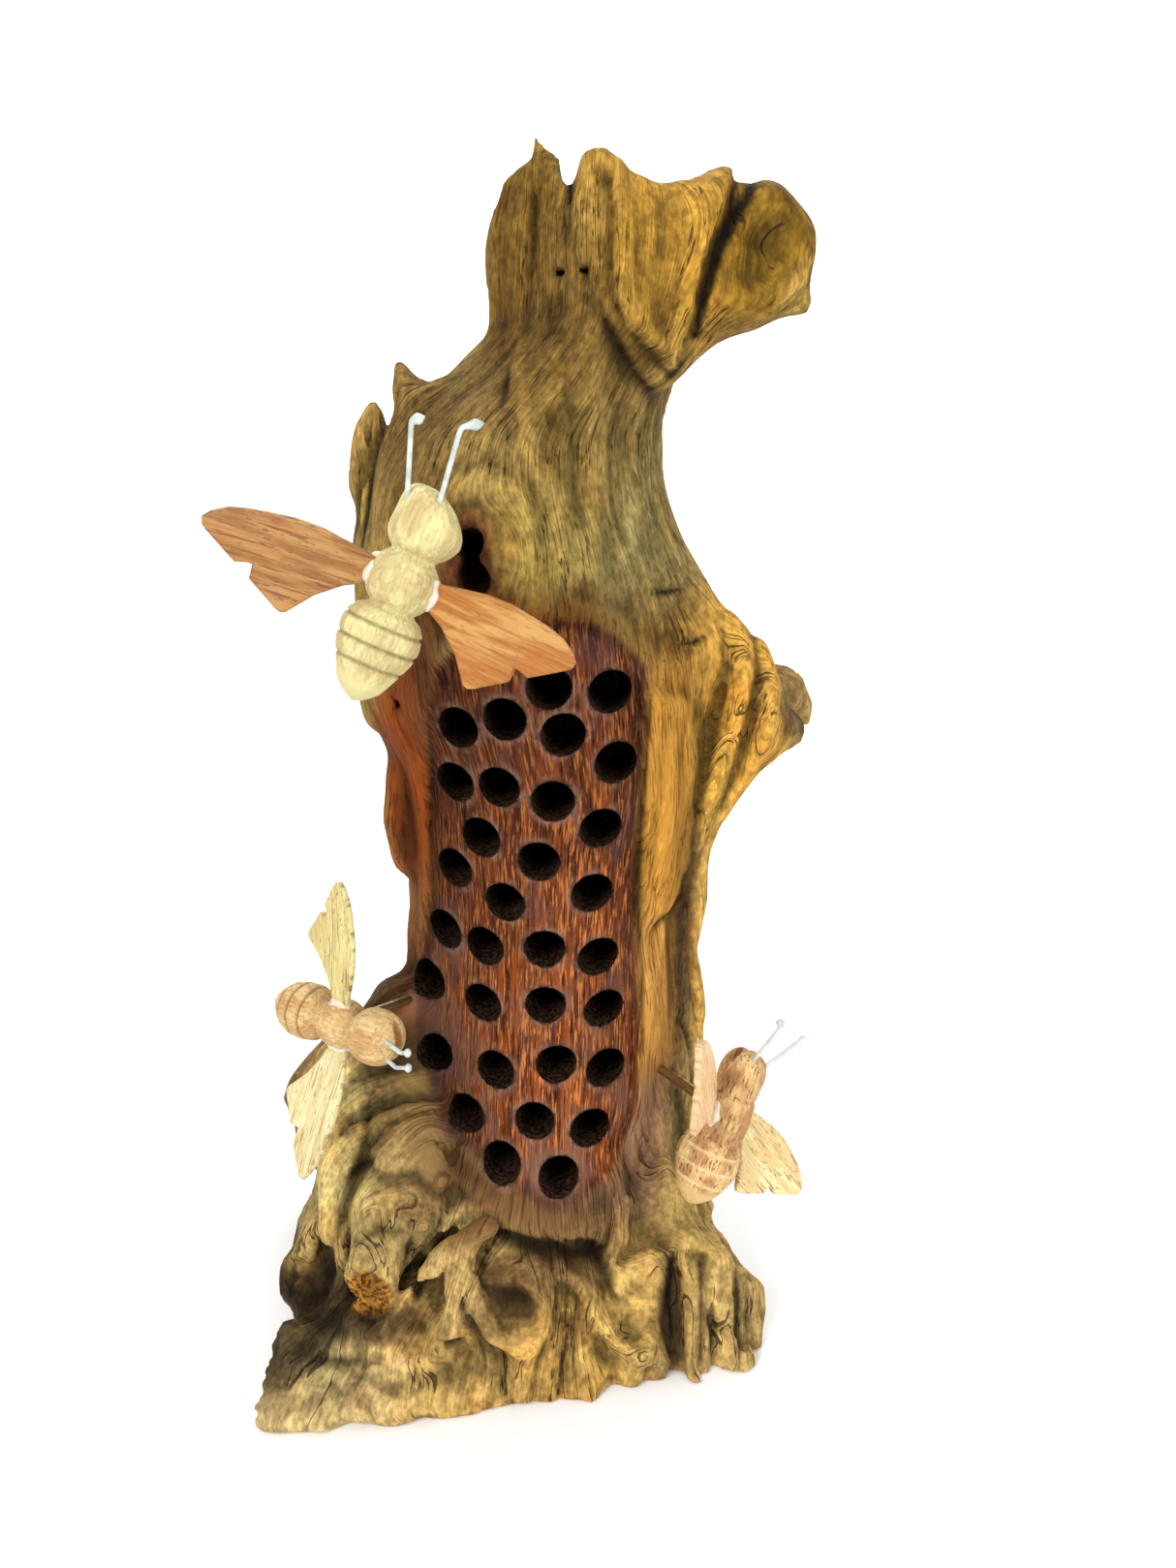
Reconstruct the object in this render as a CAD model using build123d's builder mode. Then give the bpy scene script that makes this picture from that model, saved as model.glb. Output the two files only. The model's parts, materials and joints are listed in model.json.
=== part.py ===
"""Insect hotel: a dug-up root, drilled with nesting bores, with three carved wooden bees on pins.

Millimetres, +Z up.  The root rests on Z = 0 and its drilled side faces -Y.  The origin is the
middle of the flat underside, under the trunk.
"""
import os
from math import cos, radians, sin

from build123d import *

# ---- driving dimensions -------------------------------------------------------------------
BORE = 10.0             # nesting bores, one standard drill
BORE_DEPTH = 25.0
BORE_LEAD = 8.0         # how far the drill's sweep reaches out in front of a bore's mouth
BORE_SPLAY = 0.2        # degrees of turn per millimetre from the splay's middle line
SPLAY_MIDDLE = 8.0
FOOT_TILT = 8.0        # the lowest bores slope up to their mouths by this many degrees

PANEL_MIDDLE = 2.0      # X of the drilled face's crest line
PANEL_BEND = 58.0       # across the crest the face falls away by (x - PANEL_MIDDLE)^2 / PANEL_BEND

PIN = 2.5               # headless steel nails that carry the bees
PIN_IN_BEE = 4.0        # how far a pin reaches past the middle of the thorax, less its tip
PIN_GRIP = 12.0         # driven depth in the root
RUNNING_FIT = 0.05      # radial clearance of a bee's belly bore on its pin

WING_THICKNESS = 1.8
WING_TENON = 3.0        # length of wing glued into the thorax
STALK = 1.0             # nylon antenna
BLOB = 1.25             # radius of the melted end of an antenna
GLUE_BEAD = 3.5
MOUTH_DEPTH = 3.8       # slot between the jaws, sawn across the front of the head
MOUTH_GAP = 3.0
MOUTH_RISE = -0.9

# Height, left, right, front and back of the root's main stem, ring by ring.
STEM_RINGS = (
    (0, -50, 49, -57, 40),
    (14, -51, 46, -57, 39),
    (28, -48, 43, -50, 37),
    (40, -44, 42, -38, 35),
    (60, -42, 41, -32, 33),
    (85, -40, 40, -30, 31),
    (110, -39, 41, -32, 30),
    (140, -42, 43, -36, 30),
    (168, -45, 46, -39.5, 29),
    (184, -46, 42, -43, 28),
    (202, -42, 32, -46, 27),
    (216, -36, 28, -43, 26),
    (230, -24, 28, -36, 24),
    (244, -14, 32, -33, 21),
    (260, -12, 34, -31, 18),
    (272, -11, 32, -26, 13),
    (279, -8, 26, -17, 6),
)

# Each limb is a list of stations: its middle, then its half width across and half height.
LIMBS = {
    "head lobe": (((16, -12, 260), 13, 15), ((34, -16, 263), 13, 14), ((50, -18, 263), 13, 13),
                  ((59, -18, 262), 9, 9)),
    "head spike": (((1, -10, 272), 5, 5), ((1, -10, 286), 0.8, 0.8)),
    "left shoulder": (((-18, -10, 216), 11, 11), ((-26, -9, 230), 6, 6), ((-32, -8, 242), 1, 1)),
    "left edge": (((-36, -2, 150), 6, 6), ((-43, -2, 182), 6, 7), ((-42, -2, 208), 5, 6),
                  ((-39, -2, 231), 2, 3)),
    "right ear": (((35, -9, 112), 6, 6), ((42, -9, 136), 10, 10), ((49, -9, 155), 13, 10),
                  ((43, -10, 176), 11, 10), ((30, -12, 196), 8, 8)),
    "ear back": (((40, 2, 158), 11, 11), ((56, 7, 158), 8, 9), ((66, 10, 158), 4, 6)),
    "right ridge": (((26, -27, 180), 6, 5), ((28, -22, 140), 5, 5), ((28, -20, 100), 5, 5),
                    ((30, -20, 62), 5, 5)),
    "left flank": (((-40, -4, 82), 7, 7), ((-48, -10, 60), 11, 10), ((-48, -22, 34), 13, 13),
                   ((-46, -30, 6), 14, 14)),
    "left root": (((-26, -42, 12), 14, 14), ((-48, -48, 6), 12, 12), ((-71, -54, -1), 9, 9)),
    "left curl": (((-48, -30, 26), 7, 7), ((-60, -34, 24), 5, 5), ((-66, -36, 19), 3, 3)),
    "back lump": (((-36, 10, 44), 14, 14), ((-58, 15, 34), 15, 16), ((-72, 18, 30), 11, 13)),
    "cut branch": (((-32, -34, 28), 7, 7), ((-43, -51, 21), 5.5, 5.5)),
    "right root": (((30, -22, 30), 13, 13), ((42, -30, 14), 12, 12), ((48, -33, -4), 10, 10)),
    "back root": (((4, 18, 26), 14, 14), ((16, 34, 12), 13, 13), ((24, 44, -2), 11, 11)),
}

# Places of the bores on the drilled face, as (x, z), row by row from the top.
BORES = (
    (2, 173), (15.5, 171), (-19, 162), (-8, 165.5), (5, 162), (17, 154),
    (-21, 147.5), (-10, 148.5), (2.5, 146), (13.5, 138), (-15, 134.5), (-1, 130.5),
    (-22.5, 124), (-9.5, 118.5), (11.5, 121), (-26, 105.5), (-15, 105), (0, 107), (13, 103),
    (-31, 89), (-16, 89), (0, 91.5), (14.5, 88), (-29.5, 70), (-13, 71.5), (2.5, 75),
    (15, 71.5), (-21, 57), (-3, 60), (11, 56.5), (-11.5, 48), (3, 46),
)

# Where each bee sits, which way it heads and faces, the shape of its turned body, and how far
# its wings are swept forward, raised and turned nose up, left wing first.
BEES = {
    "upper_bee": dict(
        middle=(-25.5, -60, 198.5), heading=(0.41, 0.14, 0.90), back=(0.08, -0.98, 0.12),
        head=7.2, thorax=7.0, abdomen=8.2, front=18.6, tail=-25.0, standoff=29.0,
        wings=((-6, 18, 12), (0, 22, 6)), antenna_rise=0.35),
    "left_bee": dict(
        middle=(-49.5, -31, 87.5), heading=(0.82, -0.56, 0.0), back=(-0.56, -0.82, 0.15),
        head=6.8, thorax=6.2, abdomen=7.1, front=18.0, tail=-23.0, standoff=27.0,
        wings=((4, 8, 10), (4, 22, 6)), antenna_rise=0.25),
    "right_bee": dict(
        middle=(44.5, -35, 65), heading=(0.37, 0.26, 0.89), back=(0.57, -0.80, 0.0),
        head=5.6, thorax=6.0, abdomen=8.0, front=17.0, tail=-24.0, standoff=15.0,
        wings=((36, 22, -14), (-29, 8, -8)), antenna_rise=0.45),
}
SIDES = {"left": 1, "right": -1}


# ---- the root -----------------------------------------------------------------------------
def ring_points(left, right, front, back):
    """One ring of the stem: a blunt wedge towards the front, round at the back."""
    middle_x, half_x = (left + right) / 2, (right - left) / 2
    middle_y = (front + back) / 2
    front_half = [(s, front + (middle_y - front) * abs(s) ** 1.7) for s in (0, 0.45, 0.8, 1)]
    back_half = [(cos(radians(a)), middle_y + (back - middle_y) * sin(radians(a))) for a in (35, 65)]
    right_side = front_half + back_half
    left_side = [(-s, y) for s, y in right_side[:0:-1]]
    ring = right_side + [(0, back)] + left_side
    return [(middle_x + half_x * s, y) for s, y in ring]


def limb(stations):
    """A limb of the root: oval sections lofted along its middle line."""
    middles = [Vector(*middle) for middle, _, _ in stations]
    with BuildPart() as piece:
        for i, (_, across, high) in enumerate(stations):
            along = middles[min(i + 1, len(middles) - 1)] - middles[max(i - 1, 0)]
            level = Vector(0, 0, 1) if abs(along.normalized().Z) < 0.7 else Vector(0, 1, 0)
            with BuildSketch(Plane(middles[i], x_dir=along.cross(level), z_dir=along)):
                Ellipse(across, high)
        loft()
    return piece.part


def face_depth(x, z):
    """Y of the drilled face: scooped along Z, falling away on both sides of its crest."""
    crest = ((38, -37), (52, -33), (80, -30), (105, -31.5), (132, -35), (158, -38.5), (176, -40))
    for (z0, y0), (z1, y1) in zip(crest, crest[1:]):
        if z <= z1:
            break
    return y0 + (y1 - y0) * (z - z0) / (z1 - z0) + (x - PANEL_MIDDLE) ** 2 / PANEL_BEND


def bore_plane(x, z):
    """The plane a bore is drilled from, in front of its mouth, with its normal pointing out."""
    turn = radians(BORE_SPLAY * (x - SPLAY_MIDDLE))
    tilt = radians(FOOT_TILT * min(1, max(0, (85 - z) / 35)))
    outward = Vector(sin(turn) * cos(tilt), -cos(turn) * cos(tilt), sin(tilt))
    return Plane(Vector(x, face_depth(x, z), z) + outward * BORE_LEAD, z_dir=outward)


# ---- the bees -----------------------------------------------------------------------------
def bee_frame(bee):
    """The bee's own plane: X to its head, Y to its left, Z out of its back."""
    heading = Vector(*bee["heading"]).normalized()
    left = Vector(*bee["back"]).cross(heading)
    return Plane(Vector(*bee["middle"]), x_dir=heading, z_dir=heading.cross(left))


def wing_plane(bee, side):
    """The plane a wing lies in: X out along the wing, Y to its leading edge."""
    frame = bee_frame(bee)
    sweep, rise, pitch = (radians(a) for a in bee["wings"][0 if side > 0 else 1])
    span = Vector(sin(sweep), side * cos(sweep) * cos(rise), cos(sweep) * sin(rise))
    leading = Vector(cos(pitch), 0, sin(pitch))
    root = Vector(0, side * (bee["thorax"] - 0.6), 0.8)
    world = [frame.from_local_coords(v) - frame.origin for v in (span, span.cross(leading))]
    return Plane(frame.from_local_coords(root), x_dir=world[0], z_dir=world[1])


def make_wing(bee, side):
    """A fore and a hind wing sawn from one plate, with the notch between them."""
    with BuildPart() as wing:
        with BuildSketch(wing_plane(bee, side)):
            with BuildLine():
                Spline((-WING_TENON, 2.2), (0, 2.7), (10.7, 4.8), (20.8, 4.5), (28, 3.2), (32, 0))
                ThreePointArc((32, 0), (31.9, -1.1), (31, -1.9))
                Polyline((31, -1.9), (24.4, -6.4), (22.1, -5.8), (21, -8.7), (14.8, -13))
                ThreePointArc((14.8, -13), (13.4, -13.6), (12.3, -12.4))
                Spline((12.3, -12.4), (8.5, -8.1), (4.1, -4.7), (0, -2.8), (-WING_TENON, -2.2))
                Line((-WING_TENON, -2.2), (-WING_TENON, 2.2))
            make_face()
        extrude(amount=WING_THICKNESS / 2, both=True)
    return wing.part


def make_antenna(bee, side):
    """A nylon stalk bent outwards at its end and melted to a blob."""
    frame = bee_frame(bee)
    rise = bee["antenna_rise"]
    base_x, base_y, base_z = bee["front"] - 5, side * bee["head"] * 0.32, bee["head"] * 0.45
    straight = Vector(1, side * 0.12, rise).normalized()
    foot = Vector(base_x, base_y, base_z)
    bend = foot + straight * 15
    tip = bend + Vector(2.2, side * 1.8, rise * 0.5)
    with BuildPart() as antenna:
        with BuildLine() as path:
            Line(frame.from_local_coords(foot), frame.from_local_coords(bend))
            Line(frame.from_local_coords(bend), frame.from_local_coords(tip))
        with BuildSketch(Plane(path.line @ 0, z_dir=path.line % 0)):
            Circle(STALK / 2)
        sweep(transition=Transition.ROUND)
        with Locations(path.line @ 1):
            Sphere(BLOB)
    return antenna.part


def make_pin(bee):
    """The headless nail: from inside the thorax, across the gap and into the root."""
    frame = bee_frame(bee)
    length = PIN_IN_BEE + bee["standoff"] + PIN_GRIP
    with BuildPart() as pin:
        with BuildSketch(Plane(frame.from_local_coords(Vector(0, 0, PIN_IN_BEE)), z_dir=-frame.z_dir)):
            Circle(PIN / 2)
        extrude(amount=length)
        chamfer(pin.edges().group_by(SortBy.LENGTH)[0], PIN / 5)
    return pin.part


def make_body(bee, inserts):
    """Head, thorax and ringed abdomen turned in one, with mouth slot, belly bore and slots."""
    frame = bee_frame(bee)
    head, thorax, girth, front, tail = (bee[k] for k in ("head", "thorax", "abdomen", "front", "tail"))
    neck = 0.66 * thorax
    rings = ((-9.0, 0.96 * girth), (-13.0, 0.98 * girth), (-17.0, 0.80 * girth))
    with BuildPart() as body:
        with BuildSketch(Plane(frame.origin, x_dir=frame.x_dir, z_dir=-frame.y_dir)):
            with BuildLine():
                Spline((tail, 0), (tail + 2.4, 0.40 * girth), *[(x, r) for x, r in rings[::-1]],
                       (-5.4, neck))
                ThreePointArc((-5.4, neck), (0, thorax), (5.4, neck))
                ThreePointArc((5.4, neck), (front - 7, head), (front, 0.3 * head))
                Polyline((front, 0.3 * head), (front, 0), (tail, 0))
            make_face()
        revolve(axis=Axis(frame.origin, frame.x_dir))
        for x, radius in rings:
            middle = frame.from_local_coords(Vector(x, 0, 0))
            with BuildSketch(Plane(middle, z_dir=frame.x_dir)):
                Circle(radius + 1)
                Circle(radius - 0.45, mode=Mode.SUBTRACT)
            extrude(amount=0.3, both=True, mode=Mode.SUBTRACT)
        mouth = frame.from_local_coords(Vector(front - MOUTH_DEPTH / 2, 0, MOUTH_RISE))
        with BuildSketch(Plane(mouth, x_dir=frame.x_dir, z_dir=frame.y_dir)):
            Rectangle(MOUTH_DEPTH + 0.4, MOUTH_GAP)
        extrude(amount=2 * head, both=True, mode=Mode.SUBTRACT)
        with BuildSketch(Plane(frame.from_local_coords(Vector(0, 0, PIN_IN_BEE + 0.2)), z_dir=-frame.z_dir)):
            Circle(PIN / 2 + RUNNING_FIT)
        extrude(amount=PIN_IN_BEE + thorax + 2, mode=Mode.SUBTRACT)
        for insert in inserts:
            add(insert, mode=Mode.SUBTRACT)
    return body.part


def make_glue(bee, body, wings):
    """Beads of hot glue around both wing roots."""
    with BuildPart() as glue:
        for side in SIDES.values():
            with Locations(wing_plane(bee, side).origin):
                Sphere(GLUE_BEAD)
        for piece in (body, *wings):
            add(piece, mode=Mode.SUBTRACT)
    beads = glue.part.solids().sort_by(SortBy.VOLUME)[-2:]
    return Compound(children=beads)


def save(piece, name):
    piece.label = name
    export_step(piece, f"parts/{name}.step")


os.makedirs("parts", exist_ok=True)
pins = []
for bee_name, bee in BEES.items():
    wings = [make_wing(bee, side) for side in SIDES.values()]
    antennae = [make_antenna(bee, side) for side in SIDES.values()]
    pin = make_pin(bee)
    body = make_body(bee, [*wings, *antennae])
    save(body, f"{bee_name}_body")
    for side_name, wing, antenna in zip(SIDES, wings, antennae):
        save(wing, f"{bee_name}_wing_{side_name}")
        save(antenna, f"{bee_name}_antenna_{side_name}")
    save(make_glue(bee, body, wings), f"{bee_name}_wing_glue")
    save(pin, f"{bee_name}_pin")
    pins.append(pin)

with BuildPart() as root_trunk:
    for height, *sides in STEM_RINGS:
        with BuildSketch(Plane.XY.offset(height)):
            with BuildLine():
                Spline(*ring_points(*sides), periodic=True)
            make_face()
    loft()
    for stations in LIMBS.values():
        add(limb(stations))
    split(bisect_by=Plane.XY, keep=Keep.TOP)
    with Locations(*[Location(bore_plane(x, z)) for x, z in BORES]):
        Hole(BORE / 2, BORE_LEAD + BORE_DEPTH)
    for pin in pins:
        add(pin, mode=Mode.SUBTRACT)
save(root_trunk.part, "root_trunk")
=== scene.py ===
"""Looks of the insect hotel: a sculpted root, sanded and drilled on its front, and three carved bees."""
import functools
import itertools
import json
import math

import bmesh
import bpy
import numpy as np
import openvdb
from mathutils import Matrix, Vector

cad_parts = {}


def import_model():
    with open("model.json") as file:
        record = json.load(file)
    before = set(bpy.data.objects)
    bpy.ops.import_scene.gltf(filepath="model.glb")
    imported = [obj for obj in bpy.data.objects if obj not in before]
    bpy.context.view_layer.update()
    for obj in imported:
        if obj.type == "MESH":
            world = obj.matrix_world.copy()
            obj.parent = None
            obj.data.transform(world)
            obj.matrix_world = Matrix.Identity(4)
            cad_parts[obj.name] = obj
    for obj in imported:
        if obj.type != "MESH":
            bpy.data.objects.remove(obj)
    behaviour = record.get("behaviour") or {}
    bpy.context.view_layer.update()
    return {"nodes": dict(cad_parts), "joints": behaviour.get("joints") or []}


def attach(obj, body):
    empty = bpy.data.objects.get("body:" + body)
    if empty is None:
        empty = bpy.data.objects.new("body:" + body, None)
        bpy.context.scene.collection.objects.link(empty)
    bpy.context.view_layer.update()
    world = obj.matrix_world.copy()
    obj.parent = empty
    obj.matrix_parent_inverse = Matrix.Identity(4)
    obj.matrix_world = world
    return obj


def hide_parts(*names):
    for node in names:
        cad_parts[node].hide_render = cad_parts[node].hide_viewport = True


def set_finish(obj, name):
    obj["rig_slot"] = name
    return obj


MM = 0.001

# ---- the root: everything here is in millimetres ------------------------------------------------
VOXEL = 1.2
GRID_LOW = (-94.0, -74.0, -5.0)
GRID_HIGH = (80.0, 58.0, 294.0)
BAND = 25.0  # the field is kept this far from its surface
SKIN_BAND = 6  # weathering reaches this far from the surface
LIMB_MARGIN = 14
CAVE_MARGIN = 8
GRAIN_RADIUS = 42
HASH_FACTORS = (73856093, 19349663, 83492791)

# Height, left, right, front and back of the main stem.
STEM_RINGS = (
    (0, -50, 46, -60, 38), (10, -50, 46, -60, 39), (22, -48, 43, -56, 38), (32, -46, 42, -48, 36),
    (40, -43, 41, -39, 35), (52, -42, 41, -33, 34), (80, -40, 40, -30, 32), (105, -37.5, 38.5, -31.5, 31),
    (118, -37.5, 39.5, -33, 30), (132, -38.5, 41, -35, 30), (142, -38.5, 43, -36.5, 30),
    (152, -41, 44, -38, 30), (165, -46, 45, -39.5, 29), (180, -46.5, 42, -42.5, 29), (192, -45, 37, -46, 28),
    (202, -44, 32, -47, 27), (214, -42, 28, -45, 26), (226, -37, 27, -40, 25), (236, -23, 30, -36, 23),
    (247, -12, 35, -33, 21), (258, -12, 37, -32, 19), (268, -12, 37, -29, 16), (284, -9, 36, -23, 11),
)

# The crown's outline from the front, as (x, z): dome, notch, flap, saddle, lobe.
CROWN = (
    (-14, 262), (-11, 274), (-8, 279), (-3, 281.5), (4, 280.5), (6, 276.5), (8, 276.5), (8.6, 279.5),
    (14, 279.5), (20, 275.5), (26, 273.5), (32, 275.5), (37, 279), (41, 280.5), (44, 277),
)

# Limbs: how softly they join the rest, then their stations (x, y, z, radius).
LIMBS = {
    "lobe arm": (5, (20, -12, 262, 13), (34, -14, 263, 12)),
    "lobe rim": (3, (38, -14, 268, 8.5), (47, -15, 270, 7.3), (51.5, -16, 265, 7.2), (50.5, -18, 257, 6.6),
        (44, -17, 256, 7.8), (37, -16, 257, 9)),
    "lobe web": (4, (26, -18, 240, 5.5), (34, -16, 250, 7), (42, -16, 257, 8)),
    "lobe chin": (2, (50, -17, 257, 6), (56.2, -19, 252.3, 2.2)),
    "crown thorn": (1.5, (1, -16, 276, 4.8), (0.6, -16, 281, 3.4), (-0.8, -16, 286.5, 1.7)),
    "crown thorn stub": (1, (3.4, -15, 277, 3.2), (4.4, -15, 283, 1.3)),
    "left shoulder": (5, (-18, -10, 220, 12), (-25, -9, 229, 7.5), (-30, -8, 235, 4), (-32.5, -8, 242, 1.3)),
    "left board": (2, (-41, -4, 160, 6), (-43, -4, 188, 5), (-42.3, -3, 212, 4.4), (-40.3, -3, 226, 3.4),
        (-39, -3, 231, 2.2)),
    "left burl": (6, (-37, -5, 142, 3.6), (-38, -5, 132, 4.2), (-36.5, -5, 121, 3.8)),
    "right ear": (5, (35.5, -8, 118, 5.5), (38, -8, 136, 7.5), (48, -7, 156, 11), (45, -8, 171, 9.6),
        (33, -11, 186, 6)),
    "ear point": (4, (53, -7, 157, 7), (59.5, -6, 155, 4)),
    "ear back": (3, (50, 4, 163, 8), (60, 8, 162, 6), (66, 9, 158, 2.6), (67.5, 8, 152, 1.2)),
    "right strip": (2, (38.5, -8, 132, 3.2), (38.5, -10, 112, 2.8), (37, -12, 98, 2.4), (39.2, -11, 84, 2.8),
        (40.6, -10, 70, 2.2)),
    "left flank": (5, (-41, -4, 80, 6), (-49, -10, 64, 9.5), (-51, -18, 44, 10.5), (-49, -28, 24, 13)),
    "flank core": (6, (-36, -6, 78, 8), (-40, -8, 50, 13), (-44, -14, 22, 15), (-57, -22, 20, 11.5)),
    "curl floor": (4, (-50, -34, 12, 10), (-60, -32, 12, 8)),
    "left root": (5, (-20, -40, 12, 15), (-44, -49, 7, 13), (-60, -53, 4, 11.5), (-78, -56, 2, 10.5)),
    "left curl": (2, (-52, -26, 32, 6), (-60, -33, 27, 3.8), (-65, -37, 21, 2.8), (-65, -38, 15, 3),
        (-60, -40, 9, 4)),
    "back lump": (5, (-42, 8, 64, 10), (-58, 12, 54, 10), (-69, 16, 38, 11.5), (-68, 17, 24, 11)),
    "lump twig a": (1, (-70, 12, 46, 2.4), (-77, 10, 52, 1.4), (-79, 9, 55, 1.1)),
    "lump twig b": (1, (-66, 12, 54, 2.2), (-70, 10, 60, 1.2)),
    "lump twig c": (1, (-76, 14, 36, 2.6), (-82, 12, 41, 1.3)),
    "swirl dome": (7, (-34, -24, 49, 10), (-36.5, -34, 38, 11)),
    "cut branch": (4, (-39.5, -42, 34, 6.5), (-42.8, -52.6, 26.6, 5.9), (-44.5, -57, 24, 5.9)),
    "arch ridge": (1.6, (-36, -51, 21.5, 1.5), (-30.5, -51, 27, 1.9), (-26, -50, 32.6, 2.2),
        (-22.5, -49, 35.8, 2.4), (-18.4, -47, 37.2, 2.4), (-14, -43.5, 38, 2)),
    "arch post": (1.5, (-18.5, -47.5, 35.5, 2.4), (-20.6, -51.5, 31.5, 2.5), (-21.6, -54, 26.5, 2.5),
        (-21.8, -56, 20.5, 2.6)),
    "knot ridge": (1.6, (-18, -53, 31, 1.8), (-16, -56, 25, 2), (-12, -57.5, 18.5, 2.2),
        (-5, -58, 16.5, 2.2), (0, -57, 20.5, 1.8), (0, -54, 27, 1.6)),
    "step ridge": (1.6, (2, -46, 32, 1.8), (8, -50, 29.2, 2.2), (11, -53, 25, 2.4), (13.5, -55.8, 20, 2.6),
        (19, -55, 15.5, 2.4), (27, -51.5, 10, 2.2)),
    "foot swell": (8, (-8, -40, 10, 18), (16, -38, 8, 18)),
    "foot shelf": (5, (-56, -54, 2, 12), (-37, -54, 2, 13), (-20, -48, 2, 14), (-8, -46, 4, 15),
        (4, -42, 2, 14.5), (24, -39, 2, 13.5), (33, -38, 2, 11)),
    "right root": (5, (32, -24, 28, 12), (40, -32, 14, 12), (42, -35, -2, 12)),
    "right fold a": (1.5, (33, -37, 29, 3), (37.5, -43, 20, 3.2), (38, -49, 8, 3.4), (37.5, -51, -4, 3.8)),
    "right fold b": (1.5, (37, -36, 30, 3.2), (44, -41, 23, 3.8), (47, -45, 12, 3.8), (47, -48, -4, 4)),
    "right fold c": (2, (45, -32, 26, 4), (51, -36, 15, 4.2), (52, -38, -3, 4.4)),
    "back root": (6, (4, 18, 26, 14), (16, 34, 12, 13), (23, 41, -2, 11)),
    "back shoulder": (8, (-20, 14, 60, 14), (-32, 26, 20, 13), (-36, 30, 0, 12)),
}

# Limbs that are thinner one way: that direction, and how many times thinner.
FLAT_LIMBS = {
    "left board": (1, 0, 0, 1.3),
    "right ear": (0, 1, 0, 1.25),
    "ear point": (0, 1, 0, 1.4),
}

# Hollows, written like the limbs.
CAVES = {
    "knot hole": (1, (-15, -56, 206, 2.4), (-14, -43, 204.5, 3.4), (-13, -30, 202, 2.6)),
    "knot hole low": (1, (-13.5, -56, 197, 3), (-13.5, -43, 197, 4), (-12, -30, 199, 2.8)),
    "arch": (0.6, (-29, -62, 23.5, 3.6), (-28, -54, 26, 4.6), (-26.5, -46, 28, 5), (-25, -38, 30, 4)),
    "arch wing": (0.7, (-34, -60, 22, 1.4), (-30, -52, 25, 2.6)),
    "knot pit": (1.2, (-10, -63, 25, 4.2), (-8, -54.5, 25.5, 4.6)),
    "knot pit side": (1, (-3, -60, 22, 2.2), (-5, -54, 24, 2.6)),
    "pocket": (0.6, (-22.6, -66, 16, 1.8), (-22, -54, 17, 2)),
    "step bowl": (2, (19.5, -52.5, 25, 6.2), (23, -53, 17, 6.2)),
    "flap crevice": (0.8, (35.5, -31.5, 253, 1.4), (38.5, -28.5, 264, 2.6), (42, -25.5, 271, 2.6),
        (45, -23, 278, 2)),
    "lobe bowl": (1.5, (47, -30.5, 266, 8.5), (44.5, -31.5, 259, 8.5)),
    "shoulder notch": (1, (-36.3, -16, 237, 2.2), (-36.3, -6, 233, 1.9), (-36.3, 8, 232, 2.4)),
    "side groove": (1, (36.5, -26, 128, 1.6), (35.5, -24, 108, 2.6), (34, -24, 90, 2.8), (37, -22, 68, 2.4)),
    "foot crevice": (0.8, (31.5, -41, 26, 1.8), (31, -43, 17, 2.3), (31.5, -46.5, 9.5, 2.4),
        (33, -52, 2, 2.2)),
    "fold hollow": (0.8, (39, -46, 23, 1.4), (38.6, -50, 14, 2.2), (39, -52, 3, 2.4)),
    "fold hollow b": (0.8, (47.5, -42, 20, 1.4), (48.5, -45, 10, 2), (48.5, -46, 0, 2.2)),
    "curl pocket": (1, (-58, -50, 20, 3), (-56.5, -40, 23, 3.6), (-54.5, -33, 29, 3)),
    "root bite": (2, (-58, -60, 17, 3), (-50, -62, 15, 2)),
    "worm hole a": (0.3, (5, -36, 257.5, 1.1), (5, -22, 257.5, 1.1)),
    "worm hole b": (0.3, (10, -36, 257.5, 1.1), (10, -22, 257.5, 1.1)),
    "worm hole c": (0.3, (20.5, -46, 209, 1), (20.5, -28, 209, 1)),
    "strip hole": (0.3, (-34, -36, 165, 1.1), (-34, -14, 165, 1.1)),
}

# The sawn end of the cut branch: a point on it, the way it faces, and its radius.
SAWN_END = ((-42.8, -52.6, 26.3), (-0.15, -0.985, 0.09), 5.1)
SAWN_MARGIN = 1.6
# The left root's broken end: its place along X, and how deep into the object and how high it goes.
TORN_X, TORN_Y, TORN_Z = -67.3, -38, 24

# Knots turn the grain around themselves: (x, z, radius).
KNOTS = (
    (-13, 203, 9), (-38, 36, 8), (-8, 24, 8), (-22, 17, 4), (28, 47, 7), (20, 209, 2), (49, 163, 7),
    (22, 19, 8),
)

# Outlines on the front, as (x, z): the head's flap and the fold under it, the drilled face, the strip
# beside it, and the wood round the drilled face that was sanded smooth with it.
FLAP = (
    (9, 282), (14, 281), (19, 277), (26, 275), (33, 277), (42, 283), (38.5, 271), (36, 265.5), (34, 260),
    (32.8, 253.6), (32, 249), (30, 243.6), (28.5, 239), (27.2, 241.6), (25.6, 241.4), (24.4, 243),
    (22.7, 243.4), (18.7, 247), (16, 252), (16.2, 256), (15.7, 261), (16.3, 267), (15.8, 275),
)
UNDERFLAP = (
    (8, 282), (18, 280), (20, 252), (28, 243), (28, 239), (24, 235.5), (22.2, 236.4), (18.3, 241.5),
    (14.3, 248.2), (11.1, 255.2), (8, 260.3), (7.1, 267.5), (6.8, 275),
)
PANEL = (
    (-23, 176), (-16, 183), (-7, 187), (1, 188.5), (9, 188), (16, 184), (24, 175), (24, 164), (23, 150),
    (22, 135), (22, 116), (23, 97), (24, 74), (23, 56), (17, 44), (9, 40), (2, 39), (-8, 43), (-16, 46),
    (-25, 52), (-31, 62), (-35, 78), (-33, 97), (-28, 117), (-28, 133), (-27, 149), (-26, 164),
)
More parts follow.
